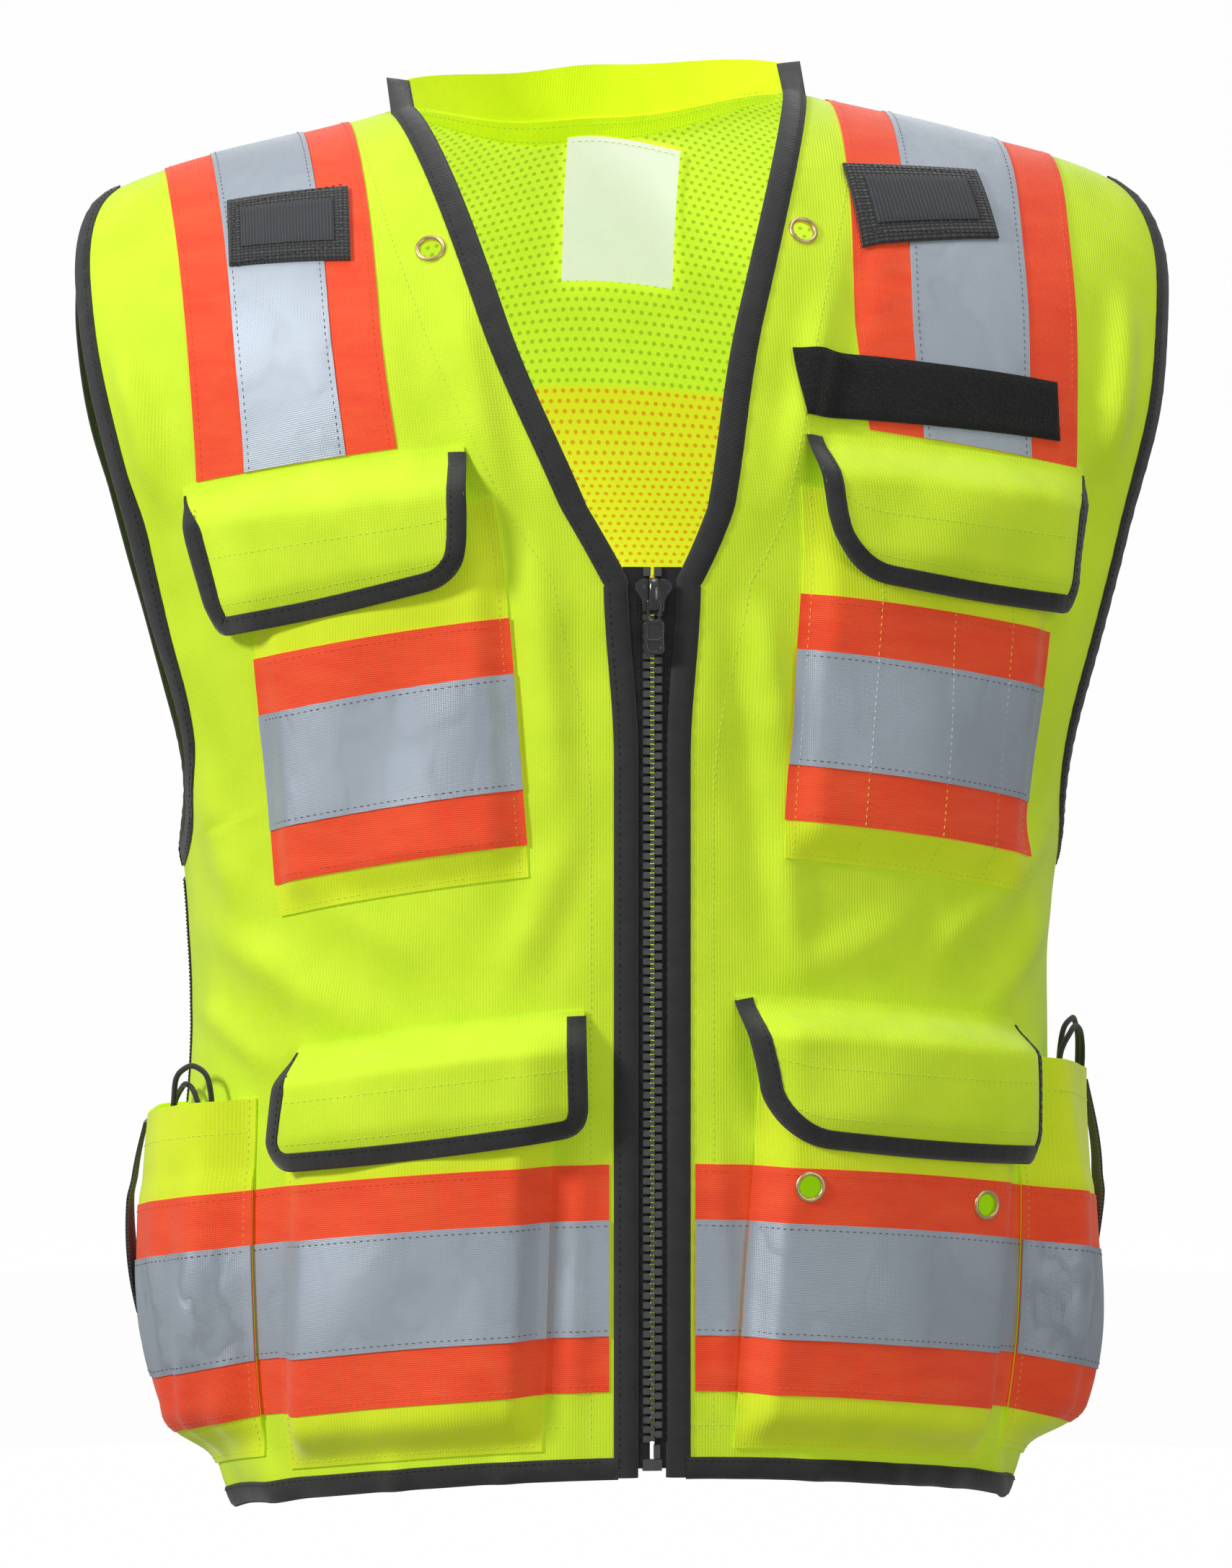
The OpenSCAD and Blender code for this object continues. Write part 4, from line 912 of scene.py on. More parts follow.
def neck_parts():
    """Stand-up collar, and the facing that covers its seam inside."""
    u, k = np.meshgrid(np.linspace(NECK_HALF, -NECK_HALF, 64), np.linspace(0, 1, 10))
    base = pt(-1, u, back_edge(u), CLOTH / 2, LEFT)
    rise = mix(24.5, 12.5, (np.abs(u) / NECK_HALF) ** 2)
    flat = np.stack([base[..., 0], base[..., 1] - RIDGE_Y + 2, 0 * u], -1)
    away = unit(flat)
    roll = 0.5 * np.sin(u / 9) * np.sin(u / 37 + 1)
    def at(d):
        lift = np.stack([0 * u, 0 * u, k * rise], -1)
        lean = mix(-5, 1.5, (u / NECK_HALF) ** 2)
        return base + lift + away * (d + (lean + roll) * k)[..., None]
    uv = np.stack([u, k * 25], -1)
    shell = Shell(at(0.9), at(-0.9), uv, False)
    build("neck_collar_knit", shell.verts, shell.faces(), LIME_INNER, "lime_fabric", ["neck_collar"],
          shell.uv)
    place = back_skin()
    s, d = np.meshgrid(np.linspace(NECK_HALF - 2, 2 - NECK_HALF, 64), np.linspace(-12, 1, 6))
    cloth("neck_facing_strip", place, s, back_edge(s) + d, -1.3, 0.8, LIME_INNER, "lime_fabric",
          ["neck_facing"])
    for drop in (-10.5, -2.5):
        line = np.linspace(NECK_HALF - 4, 4 - NECK_HALF, 60)
        stitching.row(place, np.stack([line, back_edge(line) + drop], 1), -1.75)


def collar_end_ring(hand, profile):
    """Section of the front binding where it closes the end of the collar."""
    base = pt(-1, NECK_HALF, back_edge(NECK_HALF), CLOTH / 2, hand)
    top = base + np.array([1.5 * hand, 2.0, 13.0])
    return np.array([top + (hand * (w - 3.5), 0.4 - off, 0.12 * w) for w, off in profile])


def bindings():
    profile = fold_profile(BINDING_W, ORANGE_OFF)
    narrow = fold_profile(9.5, ORANGE_OFF)
    for hand, side_name in HANDS:
        h = np.concatenate([np.linspace(HEM_H - 1, V_H, 110), np.linspace(V_H, FRONT_TOP - 24, 72)[1:]])
        path = np.stack([front_in(h) - 1, h], 1)
        place = skin(hand, place=over)
        inward = -left_of(path)
        rings = edge_rings(place, path, inward, profile)
        k = np.linspace(0, 1, 9)[1:, None, None]
        rings = np.concatenate([rings, mix(rings[-1:], collar_end_ring(hand, profile)[None], k)])
        sweep(f"front_binding_{side_name}_tape", rings, BINDING, "black_binding",
              [f"front_binding_{side_name}"], hand)
        stitching.row(place, path + inward * (BINDING_W - 2.4), TRIM_TOP, "black")
        armhole_binding(hand, side_name, narrow)
    s = np.linspace(0, 1, 300)
    end = BINDING_W + 5
    hem = [ring(mix(end, girth(HEM_H - 1 + w) - end, s), HEM_H - 1 + w, off, LEFT)
           for w, off in fold_profile(9, ORANGE_OFF)]
    sweep("hem_binding_tape", np.stack(hem, 1), BINDING, "black_binding", ["hem_binding"], -LEFT)
    stitching.row(skin(LEFT), np.stack([mix(end, girth(HEM_H) - end, s), HEM_H + 6.6 + 0 * s], 1),
                  ORANGE_OFF + 0.9, "black")
    channel = np.stack([mix(16, girth(HEM_H) - 16, s), HEM_H + 22 + 0 * s], 1)
    stitching.row(skin(LEFT), channel, CLOTH)


def armhole_binding(hand, side_name, profile):
    rows = np.linspace(0, 1, 96) ** 1.5
    rings = []
    for side, top in ((1, FRONT_TOP), (-1, BACK_TOP)):
        h = mix(ARM_H, top, rows)
        path = np.stack([arm_edge(side, h) + 1, h], 1)
        inward = left_of(path)
        inward[0] = (-1, 0)
        inward[-1] = (-1, 0)
        def place(u, g, off, side=side, top=top):
            return pt(side, u, np.minimum(g, top), off, hand)
        stitching.row(place, path + inward * 7, TRIM_TOP, "black")
        part = edge_rings(place, path, inward, profile)
        rings.append(part if side > 0 else part[::-1][1:])
    sweep(f"armhole_binding_{side_name}_tape", np.concatenate(rings), BINDING, "black_binding",
          [f"armhole_binding_{side_name}"], -hand)


for hand, side_name in HANDS:
    front_panel(hand, side_name)
back_panel()
neck_parts()
bindings()


# ---------- Pockets ----------

class Pocket:
    """Pouch sewn onto the panel. Its sides lean, and its tape may tilt."""

    def __init__(self, hand, u0, width, bottom, mouth, slant, depth, ramp, tilt, seed):
        self.hand, self.u0, self.width, self.bottom, self.mouth = hand, u0, width, bottom, mouth
        self.slant, self.depth, self.ramp, self.tilt, self.seed = slant, depth, ramp, tilt, seed

    def left_edge(self, h):
        return self.u0 + self.slant * (h - self.mouth)

    def at(self, c, k):
        """u and h of places c across and k up the pouch, each from 0 to 1."""
        lean = self.tilt * (0.5 - c) * self.width
        h = mix(self.bottom, self.mouth, k) + lean
        return self.left_edge(h) + c * self.width, h

    def surface(self, u, h):
        c = (u - self.left_edge(h)) / self.width
        h = h - self.tilt * (0.5 - c) * self.width
        edge = ease(0, self.ramp, c * self.width) * ease(0, self.ramp, (1 - c) * self.width)
        low = ease(0, self.ramp * 1.2, h - self.bottom)
        k = (h - self.bottom) / (self.mouth - self.bottom)
        body = self.depth * (0.86 + 0.14 * np.sin(np.clip(c, 0, 1) * math.pi)) * edge * low
        if self.ramp < 20:
            body = body * (0.3 + 0.7 * ease(2, 46, self.mouth - h))
        wave = (1.3 * np.sin(c * 5.1 + self.seed) * np.sin(k * 4.3 + self.seed * 2)
                + 0.7 * np.sin(c * 11 + k * 7 + self.seed * 3))
        folds = 2.6 * np.sin(c * 31 + 2.2 * np.sin(k * 3.4 + self.seed)) * (0.55 + 0.45 * np.sin(k * 4 + 1))
        over_tape = 1.2 * ease(ORANGE_W / 2 + 12, ORANGE_W / 2 + 2, np.abs(h - WAIST_H))
        base = 1.2 + (over_tape if self.bottom < WAIST_H else 0)
        return base + body + (wave + folds * (self.ramp > 20)) * edge * low

    def place(self):
        return skin(self.hand, self.surface)


POCKETS = {
    "chest_pocket_right": Pocket(RIGHT, 67, 117, -355, -190, 0.08, 9, 15, 0.06, 1.0),
    "chest_pocket_left": Pocket(LEFT, 70, 126, -345, -184, 0.07, 9, 15, 0.03, 2.1),
    "lower_pocket_right": Pocket(RIGHT, 43, 121, -604, -424, -0.03, 13, 15, 0.0, 3.3),
    "lower_pocket_left": Pocket(LEFT, 49, 130, -604, -424, 0.07, 14, 14, 0.0, 4.2),
    "side_pocket_right": Pocket(RIGHT, SIDE_U, SIDE_W, -597, -438, 0, 17, 22, 0.0, 5.5),
    "side_pocket_left": Pocket(LEFT, SIDE_U, SIDE_W, -597, -420, 0, 17, 22, 0.0, 6.4),
}
POCKET_TAPE_H = {
    "chest_pocket_right": -291, "chest_pocket_left": -278, "lower_pocket_right": WAIST_H,
    "lower_pocket_left": WAIST_H, "side_pocket_right": WAIST_H, "side_pocket_left": WAIST_H,
}
POCKET_GROMMETS = [(65, -487), (150, -490)]


def pocket_grid(p, c0, c1, h0, h1, step=2.6):
    """u and h over part of a pouch, with more columns where its sides curve."""
    nc = max(2, round((c1 - c0) * p.width / step) + 1)
    nk = max(2, round((h1 - h0) / step) + 1)
    c, h = np.meshgrid(np.linspace(c0, c1, nc), np.linspace(h0, h1, nk))
    return p.at(c, (h - p.bottom) / (p.mouth - p.bottom))


def pocket_line(p, c, h):
    """Path of u and h along arrays of c and h."""
    c, h = np.broadcast_arrays(np.asarray(c, float), np.asarray(h, float))
    return np.stack(p.at(c, (h - p.bottom) / (p.mouth - p.bottom)), 1)


def make_pocket(name, p):
    place = p.place()
    family = name.split("_")[0]
    holes = []
    if name == "lower_pocket_left":
        holes = [(place(u, h, 0.5), HOLE_R) for u, h in POCKET_GROMMETS]
    u, h = pocket_grid(p, 0, 1, p.bottom, p.mouth)
    obj = cloth(name + "_cloth", place, u, h, 0, CLOTH, LIME_POCKET, "lime_fabric", [name], p.hand, holes)
    tape_h = POCKET_TAPE_H[name]
    suffix = name.split("_")[2]
    half, bright = ORANGE_W / 2, SILVER_W / 2
    u, h = pocket_grid(p, -0.005, 1.005, tape_h - half, tape_h + half)
    tape_holes = [(place(gu, gh, 1.2), HOLE_R) for gu, gh in POCKET_GROMMETS] if holes else []
    cloth(f"{family}_tape_orange_{suffix}", place, u, h, POUCH_ORANGE_OFF, TAPE_T, ORANGE, "orange_tape",
          [f"{family}_tape_orange"], p.hand, tape_holes)
    u, h = pocket_grid(p, -0.005, 1.005, tape_h - bright, tape_h + bright)
    cloth(f"{family}_tape_silver_{suffix}", place, u, h, POUCH_SILVER_OFF, TAPE_T,
          SILVER_CRUMPLED if family == "side" else SILVER, "silver_tape", [f"{family}_tape_silver"], p.hand)
    run = np.linspace(0.02, 0.98, 60)
    for edge in (-bright + 2.5, bright - 2.5):
        stitching.row(place, pocket_line(p, run, tape_h + edge), POUCH_SILVER_OFF + TAPE_T, "dark")
    for edge in (-half + 3, half - 3):
        stitching.row(place, pocket_line(p, run, tape_h + edge), POUCH_ORANGE_OFF + TAPE_T, "orange")
    pocket_seams(name, p, place, tape_h)


def pocket_seams(name, p, place, tape_h):
    """Stitch rows down a pouch, in the colour of what they cross."""
    half, bright = ORANGE_W / 2, SILVER_W / 2
    columns = {"chest_pocket_right": (0.03,), "chest_pocket_left": (0.03, 0.27, 0.56, 0.79, 0.97),
               "lower_pocket_right": (0.98,), "lower_pocket_left": (),
               "side_pocket_right": (0.025,), "side_pocket_left": (0.025,)}[name]
    for c in columns:
        spans = ((p.bottom + 3, tape_h - half, CLOTH, "lime"),
                 (tape_h - half, tape_h - bright, POUCH_ORANGE_OFF + TAPE_T, "yellow"),
                 (tape_h - bright, tape_h + bright, POUCH_SILVER_OFF + TAPE_T, "white"),
                 (tape_h + bright, tape_h + half, POUCH_ORANGE_OFF + TAPE_T, "yellow"),
                 (tape_h + half, p.mouth, CLOTH, "lime"))
        for low, high, off, thread in spans:
            if high - low > 4:
                stitching.row(place, pocket_line(p, c, np.linspace(low, high, 20)), off, thread)
    bottom = np.linspace(0.02, 0.98, 50)
    stitching.row(place, pocket_line(p, bottom, p.bottom + 2.5), CLOTH)
    if name.startswith("side"):
        stitching.row(place, pocket_line(p, bottom, p.mouth - 15), CLOTH)


for pocket_name, pocket in POCKETS.items():
    make_pocket(pocket_name, pocket)


# ---------- Tapes on the panels ----------

def tape_pair(name, place, u0, u1, h0, h1, nodes, hand, across=False, wear_and_crease_shade=False):
    """Orange tape with a silver tape along its middle and its rows of stitches."""
    inset = (ORANGE_W - SILVER_W) / 2
    u, h = grid(u0, u1, h0, h1, 3.6)
    cloth(f"{name}_orange", place, u, h, ORANGE_OFF, TAPE_T, ORANGE, "orange_tape", [nodes + "_orange"],
          hand, uv=np.stack([h, u], -1) if across else None)
    if across:
        shift = lambda edge, d: (lambda g: edge(g) + d)
        s0, s1, t0, t1 = shift(u0, inset), shift(u1, -inset), h0, h1
    else:
        s0, s1, t0, t1 = u0, u1, h0 + inset, h1 - inset
    u, h = grid(s0, s1, t0, t1, 3.6)
    cloth(f"{name}_silver", place, u, h, SILVER_OFF, TAPE_T, SILVER_CRUMPLED if wear_and_crease_shade else SILVER, "silver_tape",
          [nodes + "_silver"], hand, uv=np.stack([h, u], -1) if across else None)
    for edge, off, thread in ((inset + 2.5, SILVER_OFF, "dark"), (3, ORANGE_OFF, "orange")):
        for flip in (False, True):
            if across:
                g = np.linspace(h0, h1, 90)
                line = (u1(g) - edge) if flip else (u0(g) + edge)
                path = np.stack([line, g], 1)
            else:
                level = h1 - edge if flip else h0 + edge
                run = np.linspace(0, 1, 90)
                lo, hi = (f(np.array([level]))[0] if callable(f) else f for f in (u0, u1))
                path = np.stack([mix(lo, hi, run), level + 0 * run], 1)
            stitching.row(place, path, off + TAPE_T, thread)


# Inner and outer u and h at the top and at the bottom, the radii of the two lower corners, how
# far the pocket below stands out, and the length that the flap takes to pass over its edge
FLAPS = {
    "chest_flap_right": dict(hand=RIGHT, top_u=(77, 213), low_u=(80, 196), top_h=(-170, -170),
                             low_h=(-220, -232), corner=(16, 7), depth=11, fall=16),
    "chest_flap_left": dict(hand=LEFT, top_u=(76, 211), low_u=(77, 200), top_h=(-165, -161),
                            low_h=(-216, -220), corner=(26, 7), depth=11, fall=16),
    "lower_flap_right": dict(hand=RIGHT, top_u=(30, 161), low_u=(29, 168), top_h=(-411, -418),
                             low_h=(-465, -472), corner=(9, 12), depth=15, fall=18),
    "lower_flap_left": dict(hand=LEFT, top_u=(37, 182), low_u=(44, 183), top_h=(-405, -404),
                            low_h=(-467, -469), corner=(30, 6), depth=15, fall=18),
}


def shoulder_tapes():
    for hand, side_name, lean_out, top in ((RIGHT, "right", 10, -168), (LEFT, "left", 1, -161)):
        end = FRONT_TOP + BACK_TOP - (BAND_H + ORANGE_W / 2) - 2
        middle = lambda g, lean_out=lean_out, top=top: 157 + lean_out * ease(top, FRONT_TOP, g)
        tape_pair(f"shoulder_tape_{side_name}", skin(hand, place=over),
                  lambda g, m=middle: m(g) - ORANGE_W / 2, lambda g, m=middle: m(g) + ORANGE_W / 2,
                  top, end, "shoulder_tape", hand, across=True)


def waist_tapes():
    low, high = WAIST_H - ORANGE_W / 2, WAIST_H + ORANGE_W / 2
    for hand, side_name in HANDS:
        lower = POCKETS["lower_pocket_" + side_name]
        place = skin(hand)
        tape_pair(f"waist_tape_front_{side_name}", place, 19, lambda h, p=lower: p.left_edge(h) + 3,
                  low, high, "waist_tape", hand)
        tape_pair(f"waist_tape_side_{side_name}", place, lambda h, p=lower: p.left_edge(h) + p.width - 3,
                  SIDE_U + 3, low, high, "waist_tape", hand)
    start = SIDE_U + SIDE_W - 3
    tape_pair("back_waist_tape", skin(LEFT), start, lambda h: girth(h) - start, low, high, "back_tape",
              LEFT)
    edge = lambda h: arm_edge(-1, h) - BINDING_W - 2
    place = back_skin()
    tape_pair("back_band_tape", place, edge, lambda h: -edge(h), BAND_H - ORANGE_W / 2,
              BAND_H + ORANGE_W / 2, "back_tape", LEFT)


shoulder_tapes()
waist_tapes()


# ---------- Flaps ----------

class Flap:
    def __init__(self, pocket, hand, top_u, low_u, top_h, low_h, corner, depth, fall):
        self.pocket = pocket
        self.hand, self.top_u, self.low_u, self.top_h, self.low_h = hand, top_u, low_u, top_h, low_h
        self.corner, self.depth, self.fall = corner, depth, fall

    def at(self, s, t):
        """u and h of places s across and t down the flap, each from 0 to 1."""
        u = mix(mix(*self.top_u, s), mix(*self.low_u, s), t)
        width = self.low_u[1] - self.low_u[0]
        low = mix(*self.low_h, s) - 3 * np.sin(s * math.pi)
        for radius, from_side in ((self.corner[0], s * width), (self.corner[1], (1 - s) * width)):
            short = np.clip(radius - from_side, 0, radius)
            low = low + (radius - np.sqrt(radius**2 - short**2))
        return u, mix(mix(*self.top_h, s), low, t)

    def surface(self, u, h):
        s = np.clip((u - self.top_u[0]) / (self.top_u[1] - self.top_u[0]), 0, 1)
        down = mix(*self.top_h, s) - h
        k = down / 60
        inner = self.pocket.left_edge(self.pocket.mouth)
        sides = ease(-14, 12, u - inner) * ease(-14, 12, inner + self.pocket.width - u)
        length = mix(*self.top_h, s) - mix(*self.low_h, s)
        curl = 4.5 * ease(length - 14, length + 2, down)
        rise = mix(1.2, self.depth * (0.3 + 0.7 * sides) + 6.2 - curl, ease(0, self.fall, down))
        wave = (1.1 * np.sin(s * 7 + self.depth) * np.sin(k * 3.5) + 0.6 * np.sin(s * 13 + k * 4))
        return rise + (wave + 1.2 * np.sin(np.clip(k, 0, 1) * 2.6)) * ease(2, 22, down)


def make_flap(name, spec):
    flap = Flap(POCKETS[name.replace("flap", "pocket")], **spec)
    hand = flap.hand
    place = skin(hand, flap.surface)
    family, _, side_name = name.split("_")
    s, t = np.meshgrid(np.linspace(0, 1, 54), np.linspace(1, 0, 28))
    u, h = flap.at(s, t)
    pieces = [cloth(f"{name}_cloth", place, u, h, 0, 1.3, LIME, "lime_fabric", [name], hand, body=None)]
    # Binding down one side, along the bottom and up the other
    down = np.linspace(0.05, 1, 40)
    across = np.linspace(0, 1, 90)
    outline = [np.stack(flap.at(0 * down, down), 1), np.stack(flap.at(across, 0 * across + 1), 1)[1:-1],
               np.stack(flap.at(0 * down + 1, down[::-1]), 1)]
    path = resample(np.concatenate(outline), 2.0)
    smooth = path.copy()
    smooth[1:-1] = (path[:-2] + 2 * path[1:-1] + path[2:]) / 4
    narrow = 0.12 + 0.88 * ease(0, 9, np.arange(len(smooth))[::-1])
    inward = left_of(smooth)
    stitching.row(place, smooth[1:-4] + inward[1:-4] * 5.6, 2.3, "black", name)
    rings = edge_rings(place, smooth, inward, fold_profile(7.5, 1.4, -0.1), narrow)
    pieces.append(sweep(f"{name}_binding_tape", rings, BINDING, "black_binding",
                        [f"{family}_flap_binding_{side_name}"], -hand, body=None))
    low = max(flap.low_h)
    u, h = grid(max(flap.top_u[0], flap.low_u[0]) + 14, flap.low_u[1] - 14, low + 6, low + 25, 3.0)
    pieces.append(cloth(f"{name}_hook_tape", place, u, h, -1.3, 0.8, LIME_LOOP, "lime_hook_loop",
                        [f"{family}_flap_hook_{side_name}"], hand, body=None))
    run = np.linspace(0.06, 0.94, 60)
    for t_row in (0.46, 0.80):
        line = np.stack(flap.at(run, 0 * run + t_row), 1)
        stitching.row(place, line, 1.3, "lime", name)
    return pieces


flap_pieces = {name: make_flap(name, spec) for name, spec in FLAPS.items()}


# ---------- Tabs, strips and label ----------

def tab(name, hand, u, h, width, length, slope, off, thick, material, slot, nodes, step=1.6, tilt=0.0):
    """Small patch on the front, turned by the given slope, with rounded edges."""
    x, y = np.meshgrid(np.linspace(-width / 2, width / 2, round(width / step) + 1),
                       np.linspace(-length / 2, length / 2, round(length / step) + 1))
    edge = np.minimum(width / 2 - np.abs(x), length / 2 - np.abs(y))
    crown = -0.35 * thick * (1 - ease(0, 1.6, edge)) + 0.12 * np.sin(x * 1.5) * np.sin(y * 2.1)
    uu, hh = u + x - (slope - tilt) * y, h + y + slope * x
    outer = pt(1, uu, hh, off + thick + crown, hand)
    inner = pt(1, uu, hh, off, hand)
    shell = Shell(outer, inner, np.stack([x, y], -1), hand < 0)
    return build(name, shell.verts, shell.faces(), material, slot, nodes, shell.uv)


def tab_frame(hand, u, h, width, length, slope, off):
    """Rows of stitches round a tab, set in from its edges."""
    a, b = width / 2 - 3, length / 2 - 3
    place = front_skin(hand)
    for x0, y0, x1, y1 in ((-a, -b, -a, b), (a, -b, a, b), (-a, b, a, b), (-a, -b, a, -b)):
        x, y = np.linspace(x0, x1, 20), np.linspace(y0, y1, 20)
        stitching.row(place, np.stack([u + x - slope * y, h + y + slope * x], 1), off, "black")


def front_tabs():
    for hand, side_name, u, h, width, length, slope, tilt in (
            (RIGHT, "right", 153, -73, 64, 37, 0.2, 0.2), (LEFT, "left", 138, -71, 60, 36, 0.3, 0.12)):
        tab(f"mic_tab_{side_name}_webbing", hand, u, h, width, length, slope, 2.3, 2.0, WEBBING, "webbing",
            ["mic_tab_webbing"], tilt=tilt)
        tab(f"mic_tab_{side_name}_ribbon", hand, u, h, width - 15, 21, slope, 4.4, 1.0, RIBBON, "webbing",
            ["mic_tab_ribbon"], tilt=tilt)
        tab_frame(hand, u, h, width, length, slope - tilt / 2, 4.3)
    tab("id_loop_pile", LEFT, 136, -146, 120, 21, 0.06, 2.3, 1.6, LOOP, "black_loop", ["id_loop_strip"])


def care_label():
    """Blank satin label sewn in along its top edge, with its free end curling a little."""
    place = back_skin()
    u, h = grid(48, -6, -84, -22, 2.0)
    curl = -2.0 - 3.5 * ease(-40, -85, h) - 0.6 * np.sin(u / 9) * ease(-25, -70, h)
    obj = cloth("care_label_satin", place, u, h, curl, 0.35, LABEL, "label", ["care_label"])
    line = np.linspace(46, -4, 30)
    stitching.row(place, np.stack([line, -24 + 0 * line], 1), -2.5, "lime")


def pocket_loops():
    """Loop tape on the pockets, under the closed flaps."""
    for name, flap in FLAPS.items():
        p = POCKETS[name.replace("flap", "pocket")]
        low = max(flap["low_h"]) + 6
        u, h = pocket_grid(p, 0.15, 0.85, low, low + 20, 3.0)
        cloth(name.replace("flap", "loop"), p.place(), u, h, CLOTH + 0.1, 0.8, LIME_LOOP, "lime_hook_loop",
              ["pocket_loop_strips"], p.hand)


def side_details():
    h = np.linspace(-432, -330, 60)
    seam = seam_u(1, h)[:, None]
    u = seam + np.linspace(1, 15, 8)[None]
    place = skin(RIGHT)
    cloth("side_zipper_tape", place, u, h[:, None] + 0 * u, ORANGE_OFF, 0.7, ZIP_TAPE, "zipper_tape",
          ["side_zipper"], RIGHT)
    teeth = np.stack([seam_u(1, h) + 8, h], 1)
    for shift in (-0.9, 0.9):
        stitching.row(place, teeth + (shift, 0), ORANGE_OFF + 0.75, "black", pitch=1.7, length=1.1,
                      width=2.4)
    for hand, side_name, top in ((RIGHT, "right", -442), (LEFT, "left", -424)):
        p = POCKETS["side_pocket_" + side_name]
        h = np.linspace(top - 84, top, 48)[:, None]
        u = np.linspace(261, 275, 10)[None] + 0 * h
        bow = 1.4 + 4.5 * np.sin(math.pi * (h - top + 84) / 84) + 0 * u
        cloth(f"side_strap_{side_name}", p.place(), u, h + 0 * u, bow, 1.0, RIBBON, "webbing",
              ["side_straps"], hand, uv=np.stack([h + 0 * u, u], -1))


front_tabs()
care_label()
pocket_loops()
side_details()


# ---------- Grommets ----------

def grommets(name, node, places):
    """Rolled brass eyelets, as (point, normal) of their centres."""
    profile = []
    for k in range(9):
        a = math.pi * k / 8
        profile.append((5.85 + 1.05 * math.cos(a), 1.05 * math.sin(a) + 0.25))
    profile += [(4.8, -1.2), (5.2, -1.9), (6.9, -1.7), (6.9, -1.2), (5.6, -1.2), (5.6, -0.05), (6.9, -0.05)]
    profile = np.array(profile)
    turn = np.linspace(0, 2 * math.pi, 49)[:-1]
    verts, faces = [], []
    for p, n in places:
        n = unit(n)
        x = unit(np.cross([0, 0, 1.0], n))
        y = np.cross(n, x)
        spin = np.cos(turn)[:, None] * x + np.sin(turn)[:, None] * y
        rings = p + spin[:, None] * profile[None, :, :1] + n * profile[None, :, 1:]
        start = sum(len(v) for v in verts)
        quads = grid_faces(len(turn), len(profile), start, True, wrap=True)
        last = start + (len(turn) - 1) * len(profile)
        j = np.arange(len(profile))
        k = (j + 1) % len(profile)
        closing = np.stack([last + j, start + j, start + k, last + k], -1)
        verts.append(rings.reshape(-1, 3))
        faces += quads.tolist() + closing.tolist()
    return build(name, np.concatenate(verts), faces, BRASS, "brass", [node], sharp=35)


def eyelet_place(place, u, h, off):
    p = place(u, h, off)
    du = place(u + 3, h, off) - place(u - 3, h, off)
    dh = place(u, h + 3, off) - place(u, h - 3, off)
    n = unit(np.cross(du, dh))
    return p, n if n[1] < 0 else -n


grommets("chest_eyelets", "chest_grommets",
         [eyelet_place(front_skin(hand), *CHEST_GROMMET[hand], CLOTH) for hand, _ in HANDS])
lower_left = POCKETS["lower_pocket_left"].place()
grommets("pocket_eyelets", "pocket_grommets",
         [eyelet_place(lower_left, u, h, CLOTH + 0.7) for u, h in POCKET_GROMMETS])


# ---------- Front zipper ----------

TOOTH_PITCH = 4.2
SLIDER_H = -229


def zipper_tapes():
    for hand, side_name in HANDS:
        x, z = np.meshgrid(np.linspace(1.0, 13.0, 6), np.linspace(ZIP_BOTTOM + 1, V_H + 5.5, 100))
        wave = 0.15 * np.sin(z / 2.1)
        outer = np.stack([hand * x, -FRONT_DEPTH - 0.1 + wave, z], -1)
        inner = outer + np.array([0, 0.7, 0])
        shell = Shell(outer, inner, np.stack([x, z], -1), hand < 0)
        build(f"zipper_tape_{side_name}_weave", shell.verts, shell.faces(), ZIP_TAPE, "zipper_tape",
              [f"zipper_tape_{side_name}"], shell.uv)
        def place(u, h, off, hand=hand):
            return np.stack([hand * u, -FRONT_DEPTH - 0.1 - off + 0 * u, h + 0 * u], -1)
        rows = np.linspace(ZIP_BOTTOM + 4, V_H - 6, 120)
        for u in (5.6, 6.9):
            stitching.row(place, np.stack([u + 0 * rows, rows], 1), 0, "black", pitch=2.1, length=1.5,
                          width=0.6)


def tooth_mesh():
    """One moulded tooth of the left row: root, neck and rounded head, with eased edges."""
    half = [(4.2, 1.35), (2.0, 1.6), (1.4, 1.45), (0.9, 0.85), (0.3, 0.75), (-0.1, 0.95), (-0.5, 1.02),
            (-1.0, 0.7)]
    outline = half + [(x, -z) for x, z in half[::-1]]
    mesh = bmesh.new()
    bottom = [mesh.verts.new((x, 1.6, z)) for x, z in outline]
    face = mesh.faces.new(bottom)
    grown = bmesh.ops.extrude_face_region(mesh, geom=[face])
    top = [v for v in grown["geom"] if isinstance(v, bmesh.types.BMVert)]
    bmesh.ops.translate(mesh, verts=top, vec=(0, -3.2, 0))
    bmesh.ops.recalc_face_normals(mesh, faces=mesh.faces)
    front = [e for e in mesh.edges if all(v.co.y < 0 for v in e.verts)]
    bmesh.ops.bevel(mesh, geom=front, offset=0.24, segments=2, affect="EDGES")
    verts = np.array([v.co[:] for v in mesh.verts])
    faces = [[v.index for v in f.verts] for f in mesh.faces]
    mesh.free()
    return verts, faces


